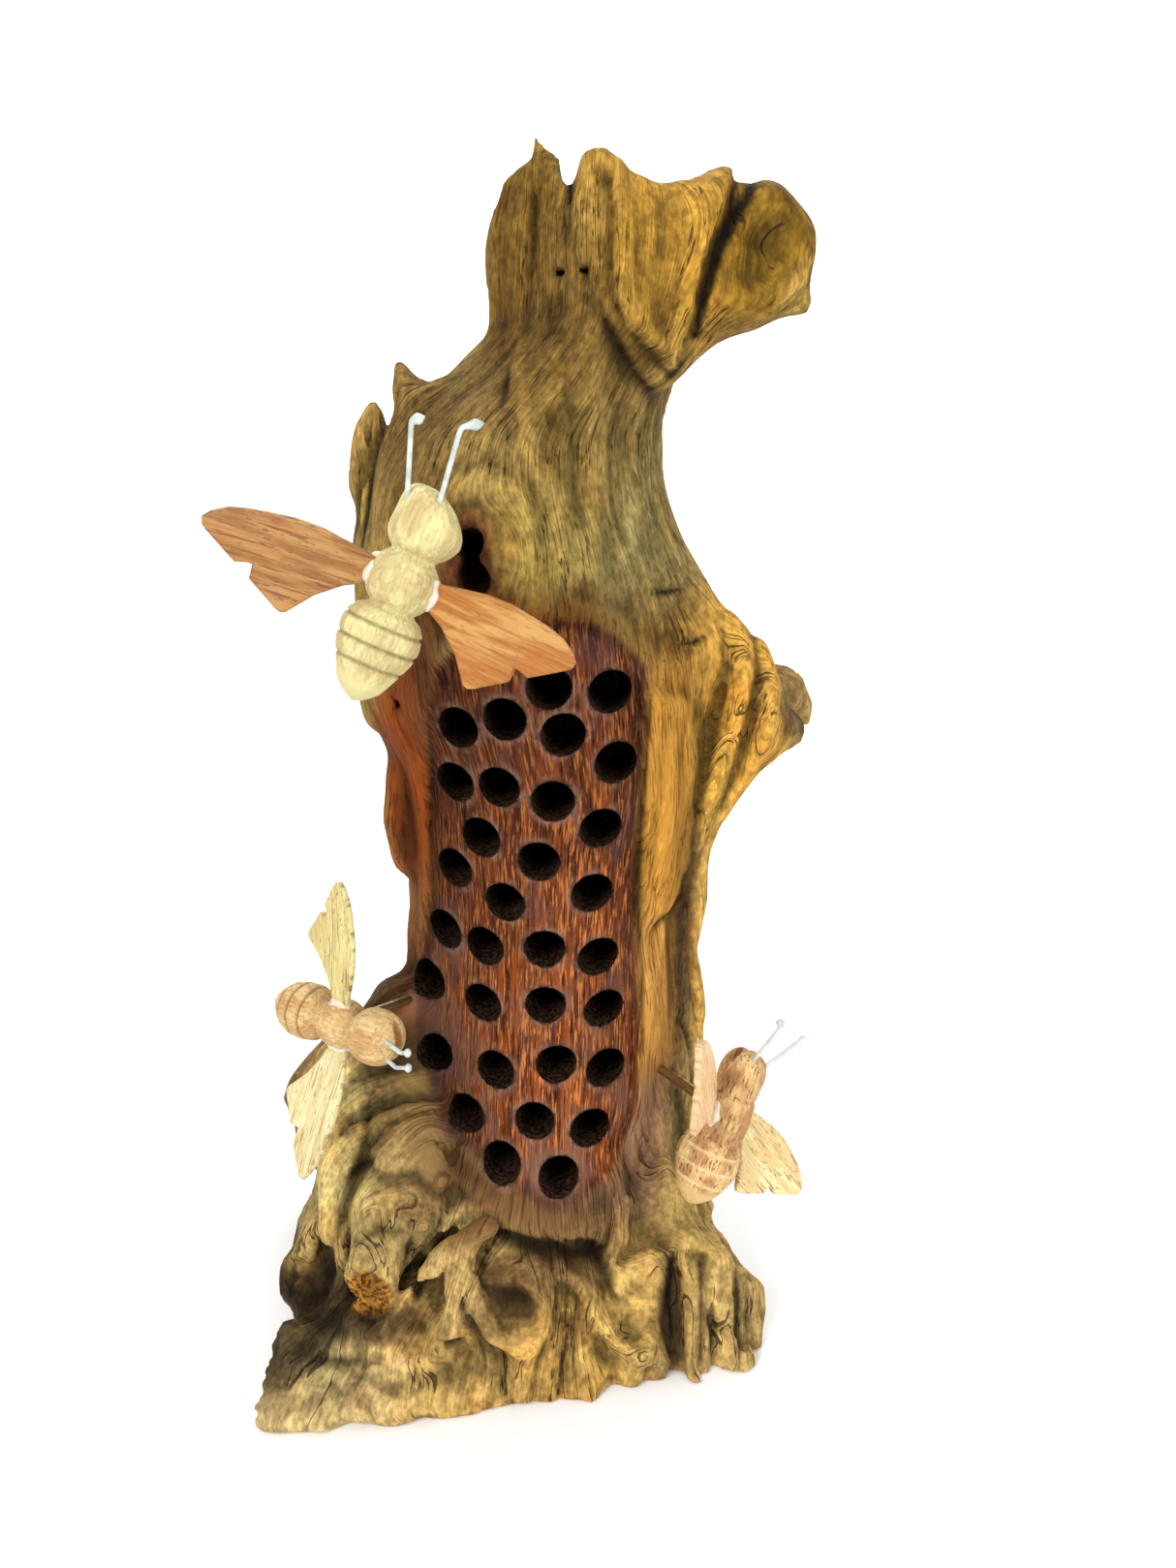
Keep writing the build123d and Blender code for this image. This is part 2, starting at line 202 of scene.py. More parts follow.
EAR_STRIP = (
    (25, 170), (34, 166), (37, 150), (36, 122), (34, 108), (30, 110), (26, 107), (23.5, 122), (24, 150),
)
SANDED = (
    (-45, 166), (-30, 178), (-16, 187), (0, 192), (12, 191), (26, 180), (35, 172), (36, 150), (35, 122),
    (33, 108), (31, 96), (32, 76), (30, 56), (22, 40), (6, 34), (-12, 36), (-28, 44), (-38, 60), (-40, 84),
    (-38, 108), (-40, 130), (-42, 150),
)

# Ridges and grooves of the front: half width, height, shade (below 0 is dark), then points (x, z).
# The shade is mostly painted light: painted shade in the grooves, hollows and under ledges, and a painted
# highlight along the ridges and lips; a few dark strokes, such as the scratches and cracks, also stand for
# the wood's own marks.
STROKES = {
    "flap edge left": (0.7, -0.5, -0.35, (7.5, 278), (6.6, 270), (7.6, 261), (11, 255), (14.2, 248),
        (18, 241.5), (22, 236.6), (24.5, 235)),
    "flap slit": (0.6, -0.7, -0.5, (15.6, 278), (16.1, 268), (15.5, 261), (15.9, 252), (18.4, 246.6),
        (22.6, 242.8), (25.4, 241)),
    "flap tip shade": (1, -1, -0.8, (24.5, 240.4), (27, 238.6), (28.5, 237.4), (30.6, 240.5)),
    "flap rib a": (2.2, 0.7, 0.15, (24, 274), (26, 262), (28, 248)),
    "flap rib b": (1.4, 0.5, 0.15, (33, 275), (32, 262), (30.5, 249)),
    "flap right lip": (0.9, 1.2, 0.5, (39.5, 277), (37.2, 269), (34.6, 263), (32.6, 254), (31, 247)),
    "flap tip lip": (0.9, 0.7, 0.6, (29.6, 249), (29.2, 244), (28.4, 240)),
    "crevice": (1.7, -2.6, -1.1, (45.5, 278), (43.5, 272.7), (40.5, 268.6), (38, 264), (35.8, 258),
        (34.4, 252), (33.2, 246)),
    "crown crack": (0.6, -1.2, -0.9, (41.5, 277), (40.2, 273), (39.6, 269.5)),
    "lobe bowl": (7.5, -1.6, 0, (46, 262), (47, 264)),
    "lobe rim": (1.6, 1.4, -0.45, (45, 275), (50, 274), (54, 269), (57.5, 262)),
    "lobe chin ridge": (1.5, 1.6, 0.45, (57.5, 261), (55, 256), (50, 251.5), (46.5, 249)),
    "lobe chin groove": (0.9, -0.8, -0.45, (56.5, 255.5), (53, 252.5), (49, 250)),
    "dome furrow a": (1.6, -0.35, -0.1, (-6, 279), (-8, 268), (-7, 255), (-8, 240)),
    "dome furrow b": (1.4, -0.3, -0.1, (1, 279), (0, 266), (2, 252), (1, 238)),
    "notch": (1.2, -2.5, -0.8, (7, 281), (7, 271)),
    "neck hollow": (0.9, -1.2, -0.7, (-6.2, 239), (-6.6, 234.6), (-7.4, 231)),
    "neck ridge a": (1.8, 1.3, 0.35, (-4, 246), (-3.5, 234), (-1, 222), (2, 214)),
    "neck ridge b": (2.6, 0.9, 0.1, (10, 250), (12, 232), (12, 212), (11, 194)),
    "neck groove": (1.8, -0.8, -0.3, (5, 246), (7, 228), (7, 206), (6, 192)),
    "neck ridge c": (2.4, 0.8, 0.05, (19, 248), (21.5, 232), (21, 212), (18, 194)),
    "under flap hollow": (3, -1.4, -0.45, (14, 247), (19, 240), (24, 234)),
    # Painted shadow: dark strokes without height inside the knot hole and under the arch.
    "painted shadow in the knot hole": (2.2, 0, -0.8, (-15, 206), (-14, 203), (-13.4, 199)),
    "painted shadow in the arch": (2.6, 0, -1.2, (-31, 24), (-27.5, 26.5), (-24.5, 28)),
    "board seam": (1, -2.2, -0.9, (-36, 231), (-38, 221), (-40, 208), (-42.5, 196)),
    "knot lip": (1.7, 1.7, 0.25, (-22, 212), (-16.5, 215.5), (-11, 217), (-6, 215), (-3, 211), (-1.5, 205),
        (-3, 199)),
    "knot moat": (1.6, -0.45, -0.05, (-24, 217), (-15, 220.5), (-8, 220.5), (-1, 216), (2.5, 208), (2, 198)),
    "knot throat": (1.2, -1, -0.4, (-18, 211), (-12.5, 212.5), (-8.5, 209), (-7, 203), (-8, 196)),
    "knot swell": (4, 1.4, 0.1, (5, 214), (7, 203), (5, 193)),
    "scratch a": (0.55, -1.2, -1, (23, 192), (28, 191.4), (33, 191.5)),
    "scratch b": (0.55, -1.3, -1, (31, 178.5), (35, 179.3), (38, 180.5)),
    "brow of the panel": (2.2, 1.5, -0.1, (-24, 178), (-16, 185.5), (-6, 189.5), (3, 191), (11, 190),
        (18, 186), (26, 176)),
    "left strip crest": (2, 1.2, 0.1, (-36, 164), (-31, 150), (-30.5, 133), (-31.5, 116), (-35.5, 96)),
    "left strip seam": (0.7, -1, -0.6, (-25.5, 178), (-26.5, 150), (-28.5, 130), (-29, 116), (-33.5, 97)),
    "ridge seam": (0.8, -1.4, -0.75, (25, 172), (23.8, 150), (22.8, 134), (22.4, 116), (24, 96), (24.8, 72)),
    "ridge crest": (3.2, 2.4, 0.2, (30, 158), (30, 140), (29.5, 124), (29, 112)),
    "ridge crest low": (2.2, 1.3, 0.05, (28, 104), (27.5, 92), (28.5, 76), (29, 64)),
    "ridge break": (0.8, -1.6, -0.7, (35, 121), (33.5, 112), (30, 108.5), (27, 107)),
    "ear crest": (2.2, 2.2, 0.2, (45, 184), (48, 177), (46, 166), (44, 157), (42, 147), (39.5, 137),
        (37.5, 127)),
    "ear gully": (1.8, -1.8, -0.45, (42, 182), (43, 172), (40.5, 160), (38.5, 148), (37, 138)),
    "ear gully outer": (1.6, -1.8, -0.5, (50, 181), (51, 170), (49.5, 160), (46.5, 148), (43, 137)),
    "ear crest outer": (2, 1.6, 0.15, (53, 178), (56, 167), (54, 156), (49, 144), (44, 134)),
    "ear lower lip": (1.4, 0.9, 0.2, (59, 153), (54, 141), (46, 133)),
    "ledge": (2.4, 1.4, 0, (-26, 45), (-19, 41), (-8, 38), (4, 36), (14, 35), (22, 37)),
    "ledge shade": (1.8, -2.4, -0.85, (-15, 35), (-5, 33.5), (5, 31.5), (14, 29)),
    "ledge underline": (1.5, -1.2, -0.3, (-1, 29), (7, 26), (11, 22)),
    "swirl outer": (1.7, 1.3, 0.2, (-51, 37), (-44, 44), (-34, 45.5), (-29, 38), (-31, 31)),
    "swirl moat": (1.3, -1.2, -0.4, (-54, 41), (-45, 48), (-33, 49), (-25.5, 42)),
    "swirl inner": (1.1, -1.2, -0.45, (-47, 35), (-41, 39.5), (-35, 39), (-34, 32)),
    "swirl core": (1, 0.8, 0.2, (-43, 34), (-39, 35.5), (-38, 31)),
    "flank edge": (1.6, 1.2, 0.25, (-54, 54), (-58, 44), (-56, 33), (-58, 24)),
    "flank crease": (1.5, -1.8, -0.55, (-46, 62), (-47, 50), (-51, 38), (-55, 27)),
    "branch collar": (1.2, -1.6, -0.8, (-50, 33), (-49, 27), (-48.6, 21)),
    "arch lip": (1.1, 1.6, 0.6, (-36, 22), (-31, 27.4), (-26.4, 33.2), (-22.5, 37), (-18, 38.4), (-14, 39.5)),
    "arch post": (1.1, 1.2, 0.45, (-19.5, 35), (-20.6, 31), (-21.6, 26), (-21.8, 21)),
    "knot ring": (1.4, 1.3, 0.15, (-18, 31), (-16, 25), (-12.5, 18.5), (-5, 15.5), (1.2, 20), (2, 27),
        (-3, 32), (-10, 33)),
    "knot hollow": (3.2, -2.4, -0.75, (-12, 26), (-8, 24), (-5, 24)),
    "knot bark": (1, 1.8, 0.35, (-11.5, 22.5), (-8, 21), (-4.5, 21.5)),
    "pocket": (1.3, -2.4, -1, (-22.8, 16.5), (-22, 17)),
    "pocket lip": (1.2, 1.6, 0.5, (-28, 12.5), (-26.4, 18.6), (-22, 20.8), (-18.2, 19), (-17.2, 14)),
    "foot crack": (0.6, -1.6, -0.9, (4.5, 27), (5.6, 18), (4, 9), (3, 1)),
    "step ridge": (1.1, 1.5, 0.5, (2, 31.5), (8, 29.4), (10.8, 25.4), (13.4, 20), (19, 15.4), (27, 9.6),
        (31, 6)),
    "step shade": (1.1, -1.6, -0.7, (4, 34.5), (10, 32), (14, 26.5), (16.6, 21.5), (21, 17.6)),
    "bowl by the step": (5, -1.4, 0.05, (20, 23), (23.5, 17)),
    "bowl lower lip": (1.2, 1, 0.3, (21, 10.5), (27, 7), (32, 3)),
    "right crevice": (1, -1.4, -1, (31.8, 27), (31, 20), (30.8, 13), (31.8, 7)),
    "fold shade a": (0.9, -1.4, -0.8, (38.8, 26), (38.6, 16), (38.8, 4)),
    "fold shade b": (0.9, -1.2, -0.7, (47, 25), (48.2, 14), (48.4, 2)),
    "fold crest a": (1, 1.2, 0.3, (35.3, 27), (34.8, 17), (35.2, 5)),
    "fold lip": (1.2, 1.6, 0.45, (34, 29), (39, 30), (45, 28.5), (49, 24)),
    # A raised crest between the folds, with a painted highlight along it.
    "fold crest highlight": (1.1, 1.6, 0.75, (41.4, 27), (42.6, 18), (43.2, 6), (43.6, 0)),
    "root crest": (1.4, 1, -0.3, (-64, 18), (-57, 20.5), (-50, 21), (-42, 20.5), (-35, 19.5)),
    "root crack": (0.8, -1.2, -0.6, (-63, 10), (-55, 13), (-47, 12.5), (-38, 14)),
    "root shelf": (1.4, -0.9, -0.25, (-68, 3), (-58, 6), (-48, 8), (-38, 7)),
    "right stem furrow": (1.8, -1.4, -0.35, (33, 62), (36, 48), (37, 34)),
    "right stem crest": (2, 1.2, 0.15, (29, 58), (31, 44), (32, 32)),
}

# Colours of the wood by place: x, z, reach across, reach up, and the colour in thousandths.
# Most are the wood's own colour, but the near-black zones at (-58, 18) and (-66, 14) are painted shadow
# inside the left curl, and the dark zone at (31, 15) is painted shade in the right crevice.
ZONES = (
    (-6, 266, 8, 14, 201, 108, 16), (4, 246, 10, 16, 157, 88, 18), (27, 262, 10, 12, 385, 205, 27),
    (12, 275, 4, 8, 360, 211, 40), (47, 262, 9, 9, 172, 89, 6), (56, 254, 4, 5, 300, 190, 45),
    (10, 224, 12, 16, 260, 160, 38), (1, 203, 7, 10, 320, 216, 50), (24, 207, 8, 14, 275, 205, 64),
    (-30, 225, 9, 12, 180, 105, 26), (-14, 200, 4, 8, 90, 26, 10), (-41, 205, 5, 22, 330, 205, 46),
    (20, 192, 8, 5, 230, 155, 48), (-66, 3, 4, 6, 330, 240, 110), (-9, 219, 7, 5, 290, 190, 50),
    (0, 190, 20, 4.6, 100, 34, 3), (24, 182, 5, 5, 200, 110, 22), (-33, 150, 5, 26, 200, 40, 3),
    (-26.5, 166, 3, 14, 110, 36, 10), (-37, 98, 4, 18, 230, 85, 26), (-44, 78, 6, 14, 85, 48, 18),
    (30, 140, 5, 28, 447, 206, 28), (29, 86, 4, 22, 533, 258, 52), (46, 158, 9, 22, 475, 260, 43),
    (62, 162, 4, 6, 100, 62, 28), (41, 96, 4, 26, 470, 280, 62), (36, 96, 2.5, 26, 110, 60, 20),
    (27, 52, 5, 10, 340, 185, 100), (-54, 50, 8, 14, 530, 413, 148), (-40, 54, 7, 10, 289, 182, 61),
    (-30, 50, 5, 8, 216, 126, 45), (-40, 37, 9, 7, 288, 188, 64), (-24, 32, 7, 6, 376, 248, 88),
    (-3, 43, 18, 7, 180, 90, 34), (4, 31, 12, 3, 220, 125, 44), (-8, 24, 6, 5, 185, 110, 38),
    (5, 12, 12, 10, 445, 256, 62), (22, 19, 7, 8, 451, 279, 80), (31, 15, 3, 9, 130, 80, 30),
    (36, 45, 6, 14, 334, 220, 65), (44, 10, 7, 12, 350, 228, 74), (-50, 5, 12, 6, 421, 288, 113),
    (-58, 18, 9, 4.6, 26, 17, 8), (-46, 20.5, 7, 2.4, 68, 42, 18), (-66, 14, 5, 8, 25, 17, 8),
    (-18, 6, 12, 6, 420, 270, 80), (-44, 13, 7, 3, 519, 366, 142), (-13, 34, 6, 3, 399, 272, 89),
    (-18, 45, 7, 4, 190, 96, 36), (17, 43, 6, 5, 220, 118, 54), (-75, 36, 9, 14, 52, 36, 17),
    (-62, 26, 5, 7, 340, 240, 80),
)

PLAIN_WOOD = (0.27, 0.165, 0.05)

# The drilled face's height and depth at its middle, and the bores' mouths (x, z), as in the CAD.
FACE_CREST = ((38, -37), (52, -33), (80, -30), (105, -31.5), (132, -35), (158, -38.5), (176, -40))
BORE = 10.0
BORE_DEPTH = 25.0
BORE_LEAD = 8.0
BORE_SIDES = 40
RIM_WIDTH = 2.2  # how far the worn wood reaches round a bore
BORES = (
    (2, 173), (15.5, 171), (-19, 162), (-8, 165.5), (5, 162), (17, 154), (-21, 147.5), (-10, 148.5),
    (2.5, 146), (13.5, 138), (-15, 134.5), (-1, 130.5), (-22.5, 124), (-9.5, 118.5), (11.5, 121),
    (-26, 105.5), (-15, 105), (0, 107), (13, 103), (-31, 89), (-16, 89), (0, 91.5), (14.5, 88), (-29.5, 70),
    (-13, 71.5), (2.5, 75), (15, 71.5), (-21, 57), (-3, 60), (11, 56.5), (-11.5, 48), (3, 46),
)


def smoothstep(low, high, value):
    """0 at low and 1 at high, eased between them."""
    t = np.clip((value - low) / (high - low), 0, 1)
    return t * t * (3 - 2 * t)


def gauss(value, width):
    """A bell curve that is 1 at 0."""
    return np.exp(-((value / width) ** 2))


def lattice_noise(points, period, seed):
    """Smooth noise from -1 to 1 at points (..., 3), with one cell per period along each axis."""
    cell = points / np.asarray(period, float)
    corner = np.floor(cell).astype(np.int64)
    t = (cell - corner).astype(np.float32)
    t = t * t * (3 - 2 * t)
    total = np.zeros(points.shape[:-1], np.float32)
    for offset in itertools.product((0, 1), repeat=3):
        key = (corner + offset) * HASH_FACTORS
        mixed = key[..., 0] ^ key[..., 1] ^ key[..., 2] ^ (seed * 2654435761)
        mixed = ((mixed ^ (mixed >> 13)) * 1274126177) & 0xFFFFFFFF
        value = ((mixed ^ (mixed >> 16)) & 0xFFFF) / 32767.5 - 1
        total += np.where(offset, t, 1 - t).prod(axis=-1) * value
    return total


def polyline_distance(x, z, points):
    """Distance from each (x, z) to a line through points, and how far along it, from 0 to 1."""
    nearest = np.full(np.shape(x), 1e9, np.float32)
    along = np.zeros(np.shape(x), np.float32)
    legs = len(points) - 1
    for i, ((x0, z0), (x1, z1)) in enumerate(zip(points, points[1:])):
        dx, dz = x1 - x0, z1 - z0
        t = np.clip(((x - x0) * dx + (z - z0) * dz) / (dx * dx + dz * dz), 0, 1)
        distance = np.hypot(x - x0 - t * dx, z - z0 - t * dz)
        closer = distance < nearest
        nearest = np.where(closer, distance, nearest)
        along = np.where(closer, (i + t) / legs, along)
    return nearest, along


def inside(x, z, outline, edge):
    """1 inside an outline of (x, z) points, 0 outside, with a border of the given softness."""
    crossings = np.zeros(np.shape(x), bool)
    closed = (*outline, outline[0])
    for (x0, z0), (x1, z1) in zip(closed, closed[1:]):
        if z0 != z1:
            crossings ^= ((z0 > z) != (z1 > z)) & (x < (x1 - x0) * (z - z0) / (z1 - z0) + x0)
    distance, _ = polyline_distance(x, z, closed)
    return smoothstep(-edge, edge, np.where(crossings, distance, -distance))


def stem_sides(z):
    """Left, right, front and back of the stem at heights z, eased between its rings."""
    rings = np.array(STEM_RINGS, float)
    fine = np.arange(-30.0, 320.0)
    ease = np.hanning(13) / np.hanning(13).sum()
    sides = []
    for column in rings.T[1:]:
        level = np.pad(np.interp(fine, rings[:, 0], column), 6, mode="edge")
        sides.append(np.interp(z, fine, np.convolve(level, ease, mode="valid")))
    return sides


def stem_place(x, y, z):
    """Where a point lies on the stem's section: across from -1 to 1, and from its middle to the front."""
    left, right, front, back = stem_sides(z)
    middle = (front + back) / 2
    across = (x - (left + right) / 2) / ((right - left) / 2)
    forward = np.where(y < middle, (middle - y) / (middle - front), (middle - y) / (back - middle))
    return across, forward


def grain_coordinates(x, y, z):
    """Wood coordinates: two across the grain and one along it, turned aside by the knots."""
    across, forward = stem_place(x, y, z)
    angle = np.arctan2(across, forward)
    facing = smoothstep(-0.2, 0.3, forward)
    turn, rise = np.zeros_like(angle), np.zeros_like(angle)
    for knot_x, knot_z, radius in KNOTS:
        dx, dz = x - knot_x, z - knot_z
        reach = radius**2 / np.maximum(dx**2 + dz**2, radius**2)
        turn = turn - facing * dx * reach / 40
        rise = rise + facing * dz * reach
    around = angle + turn
    return np.stack([GRAIN_RADIUS * np.sin(around), GRAIN_RADIUS * np.cos(around), z + rise], axis=-1)


def relief(x, z):
    """Height, and the painted shade and painted highlight with a few real dark marks, that the front's strokes
    and patches add at (x, z).
    """
    height = np.zeros(np.shape(x), np.float32)
    tone = np.zeros(np.shape(x), np.float32)
    for width, rise, shade, *points in STROKES.values():
        distance, along = polyline_distance(x, z, points)
        taper = 0.35 + 0.65 * np.sin(np.pi * np.clip(along, 0.08, 0.92))
        profile = gauss(distance, width * taper)
        height += rise * taper * profile
        tone += shade * profile
    height += 3.2 * inside(x, z, FLAP, 0.35) + 1.6 * inside(x, z, UNDERFLAP, 0.4)
    height += 1.8 * inside(x, z, EAR_STRIP, 0.9)
    height -= 1.4 * inside(x, z, PANEL, 1.1)
    return height, tone


def segment_distance(px, py, pz, start, end, flat):
    """Distance to a round or flattened, tapering segment between stations (x, y, z, radius)."""
    ax, ay, az, ar = start
    bx, by, bz, br = end
    ux, uy, uz = bx - ax, by - ay, bz - az
    t = np.clip(((px - ax) * ux + (py - ay) * uy + (pz - az) * uz) / (ux * ux + uy * uy + uz * uz), 0, 1)
    ox, oy, oz = px - ax - t * ux, py - ay - t * uy, pz - az - t * uz
    square = ox * ox + oy * oy + oz * oz
    if flat:
        fx, fy, fz, ratio = flat
        square = square + (ratio**2 - 1) * (ox * fx + oy * fy + oz * fz) ** 2
    return np.sqrt(square) - (ar + t * (br - ar))


def limb_distance(axes, stations, margin, flat=None):
    """The block of the grid near a limb, and the distance to the limb there."""
    points = np.array(stations, float)
    reach = points[:, 3].max() + margin
    block = []
    for axis, coordinate in enumerate(axes):
        low, high = points[:, axis].min() - reach, points[:, axis].max() + reach
        first, last = np.searchsorted(coordinate, (low, high))
        block.append(slice(max(0, first), last))
    px, py, pz = np.ix_(*(axis[part] for axis, part in zip(axes, block)))
    legs = (segment_distance(px, py, pz, *pair, flat) for pair in zip(stations, stations[1:]))
    return tuple(block), functools.reduce(np.minimum, legs)


def soft_min(a, b, softness):
    """The smaller of two distances, with the corner between them rounded."""
    h = np.clip(0.5 + 0.5 * (b - a) / softness, 0, 1)
    return b + (a - b) * h - softness * h * (1 - h)


def smooth_once(field):
    """One pass of a small blur along each axis, with the grid's outermost layers left as they are."""
    for axis in range(3):
        lines = np.moveaxis(field, axis, 0)
        soft = lines.copy()
        soft[1:-1] = 0.5 * lines[1:-1] + 0.25 * (lines[2:] + lines[:-2])
        field = np.moveaxis(soft, 0, axis)
    return np.ascontiguousarray(field)


def to_distance(field):
    """Scales a field so that it grows by about 1 per millimetre near its surface."""
    steepness = np.sqrt(sum(slope * slope for slope in np.gradient(field, VOXEL)))
    return np.clip(field / np.maximum(steepness, 1e-3), -BAND, BAND).astype(np.float32)


def rough_skin(x, y, z):
    """How far weathering moves the surface out: grain ridges, fissures, lumps and pits."""
    points = np.stack([x, y, z], axis=-1)
    wander = 3.0 * lattice_noise(points, (24, 24, 40), 11)
    bent = grain_coordinates(x, y, z) + np.stack([wander, wander, np.zeros_like(wander)], axis=-1)
    ridges = 0.6 * lattice_noise(bent, (8, 8, 80), 1) + 0.5 * lattice_noise(bent, (3.6, 3.6, 38), 2)
    grooves = -0.9 * (1 - smoothstep(0.0, 0.30, np.abs(lattice_noise(bent, (5.0, 5.0, 46), 12))))
    torn = smoothstep(0.1, 0.5, lattice_noise(points, (22, 22, 30), 4))
    fissures = -2.2 * (1 - smoothstep(0.0, 0.13, np.abs(lattice_noise(bent, (7, 7, 52), 3)))) * torn
    lumps = 1.5 * lattice_noise(points, (24, 24, 32), 5) + 0.7 * lattice_noise(points, (10, 10, 14), 6)
    pushed = points + 4 * lattice_noise(points, (14, 14, 14), 13)[..., None]
    knobs = 1 - 2.4 * np.abs(lattice_noise(pushed, (15, 15, 12), 14))
    pits = smoothstep(0.45, 0.7, lattice_noise(points, (5, 5, 5), 16))
    crumbs = 0.55 * lattice_noise(points, (3.4, 3.4, 3.4), 15) - 0.9 * pits
    _, forward = stem_place(x, y, z)
    panel = inside(x, z, PANEL, 3.0) * smoothstep(0.0, 0.2, forward)
    side = 1 + 0.9 * smoothstep(0.3, -0.3, forward)
    foot = smoothstep(46, 22, z)
    high = smoothstep(240, 248, z) + smoothstep(142, 150, z) * smoothstep(194, 184, z)
    lobe = smoothstep(34, 42, x) * high
    head = 1 - 0.5 * smoothstep(185, 200, z) * smoothstep(0.0, 0.3, forward) - 0.35 * lobe
    skin = (ridges + grooves) * side * head * (1 + 0.5 * foot) + fissures * head
    skin = skin + lumps * (1 + 0.6 * foot) + foot * (1.7 * knobs + crumbs)
    return skin * (1 - 0.9 * panel)


def root_field():
    """The root as a field on a grid, below 0 inside the wood, and the grid's three axes."""
    axes = [np.arange(low, high, VOXEL, dtype=np.float32) for low, high in zip(GRID_LOW, GRID_HIGH)]
    x, y, z = np.ix_(*axes)
    across, forward = stem_place(x, y, z)
    # The stem's section is an ellipse behind, and narrows to a blunt ridge in front.
    front = np.abs(across) ** 1.7 + np.abs(forward) ** 1.15
    back = across**2 + forward**2
    field = to_distance(np.where(forward > 0, front, back) - 1)
    # The crown slopes down towards the back.
    crown = np.interp(axes[0], *np.array(CROWN, float).T)[:, None, None]
    field = np.maximum(field, z - crown + 0.5 * np.maximum(y + 10, 0)).astype(np.float32)
    for name, (softness, *stations) in LIMBS.items():
        block, distance = limb_distance(axes, stations, LIMB_MARGIN, FLAT_LIMBS.get(name))
        field[block] = soft_min(field[block], distance, softness)
    field = to_distance(smooth_once(field))

    height, _ = relief(*np.meshgrid(axes[0], axes[2], indexing="ij"))
    field -= height[:, None, :] * smoothstep(2, -8, y)
    near = np.nonzero(np.abs(field) < SKIN_BAND)
    field[near] -= rough_skin(*(axis[index] for axis, index in zip(axes, near)))

    for softness, *stations in CAVES.values():
        block, distance = limb_distance(axes, stations, CAVE_MARGIN)
        field[block] = -soft_min(-field[block], distance, softness)
    torn = TORN_X + 0.15 * z + 0.05 * (y + 50)
    torn = torn + 1.4 * np.sin(y * 1.1 + z * 0.5) * np.sin(z * 0.9 - y * 0.3)
    field = np.where((y < TORN_Y) & (z < TORN_Z), np.maximum(field, torn - x), field)
    (cut_x, cut_y, cut_z), (nx, ny, nz), radius = SAWN_END
    ahead = (x - cut_x) * nx + (y - cut_y) * ny + (z - cut_z) * nz
    aside = (x - cut_x) ** 2 + (y - cut_y) ** 2 + (z - cut_z) ** 2 - ahead**2
    near_cut = (aside < (radius + SAWN_MARGIN) ** 2) & (ahead > -1) & (ahead < 9) & (z > 19)
    field = np.where(near_cut, np.maximum(field, ahead), field)
    field = 0.5 * field + 0.5 * smooth_once(field)
    return np.maximum(field, -z), axes


def cavity_values(field, axes, places):
    """How hollow the surface is around each place: above 0 in grooves, below 0 on crests.
    The root's material turns it into painted shade in the grooves and a painted highlight on the crests.
    """
    near = smooth_once(smooth_once(field))
    far = near
    for _ in range(8):
        far = smooth_once(far)
    hollow = (field - far) + 1.3 * (field - near)
    corner, share = [], []
    for axis, coordinate in zip(axes, places.T):
        cell = (coordinate - axis[0]) / VOXEL
        low = np.clip(np.floor(cell).astype(int), 0, len(axis) - 2)
        corner.append(low)
        share.append(np.clip(cell - low, 0, 1))
    total = np.zeros(len(places))
    for offset in itertools.product((0, 1), repeat=3):
        weight = np.prod([part if step else 1 - part for part, step in zip(share, offset)], axis=0)
        total += weight * hollow[tuple(low + step for low, step in zip(corner, offset))]
    return total


def face_depth(x, z):
    """Y of the drilled face, as in the CAD."""
    return np.interp(z, *np.array(FACE_CREST, float).T) + (x - 2) ** 2 / 58


def bore_axis(x, z):
    """The mouth of a bore and its outward direction, as in the CAD."""
    turn = math.radians(0.2 * (x - 8))
    tilt = math.radians(8 * min(1, max(0, (85 - z) / 35)))
    outward = Vector((math.sin(turn) * math.cos(tilt), -math.cos(turn) * math.cos(tilt), math.sin(tilt)))
    return Vector((x, float(face_depth(x, z)), z)), outward


def new_object(name, vertices, faces, smooth=True):
    """A mesh object from vertices in millimetres, with its faces turned outwards."""
    mesh = bpy.data.meshes.new(name)
    mesh.from_pydata((np.asarray(vertices, float).reshape(-1, 3) * MM).tolist(), [], faces)
    mesh.validate()
    mesh.polygons.foreach_set("use_smooth", [smooth] * len(mesh.polygons))
    work = bmesh.new()
    work.from_mesh(mesh)
    bmesh.ops.recalc_face_normals(work, faces=work.faces)
    work.to_mesh(mesh)
    work.free()
    obj = bpy.data.objects.new(name, mesh)
    bpy.context.scene.collection.objects.link(obj)
    return obj


def ring_faces(rings, sides, start=0, capped=True):
    """Quads between rings of a tube whose first vertex is start, and its two end faces."""
    faces = []
    for i in range(start, start + (rings - 1) * sides, sides):
        for k in range(sides):
            n = (k + 1) % sides
            faces.append((i + k, i + n, i + sides + n, i + sides + k))
    if capped:
        last = start + (rings - 1) * sides
        faces += [tuple(range(start, start + sides))[::-1], tuple(range(last, last + sides))]
    return faces


def ring_points(centre, across, up, radius, sides):
    """Points of a ring round centre, in the plane of across and up."""
    angles = [2 * math.pi * k / sides for k in range(sides)]
    return [centre + (across * math.cos(angle) + up * math.sin(angle)) * radius for angle in angles]


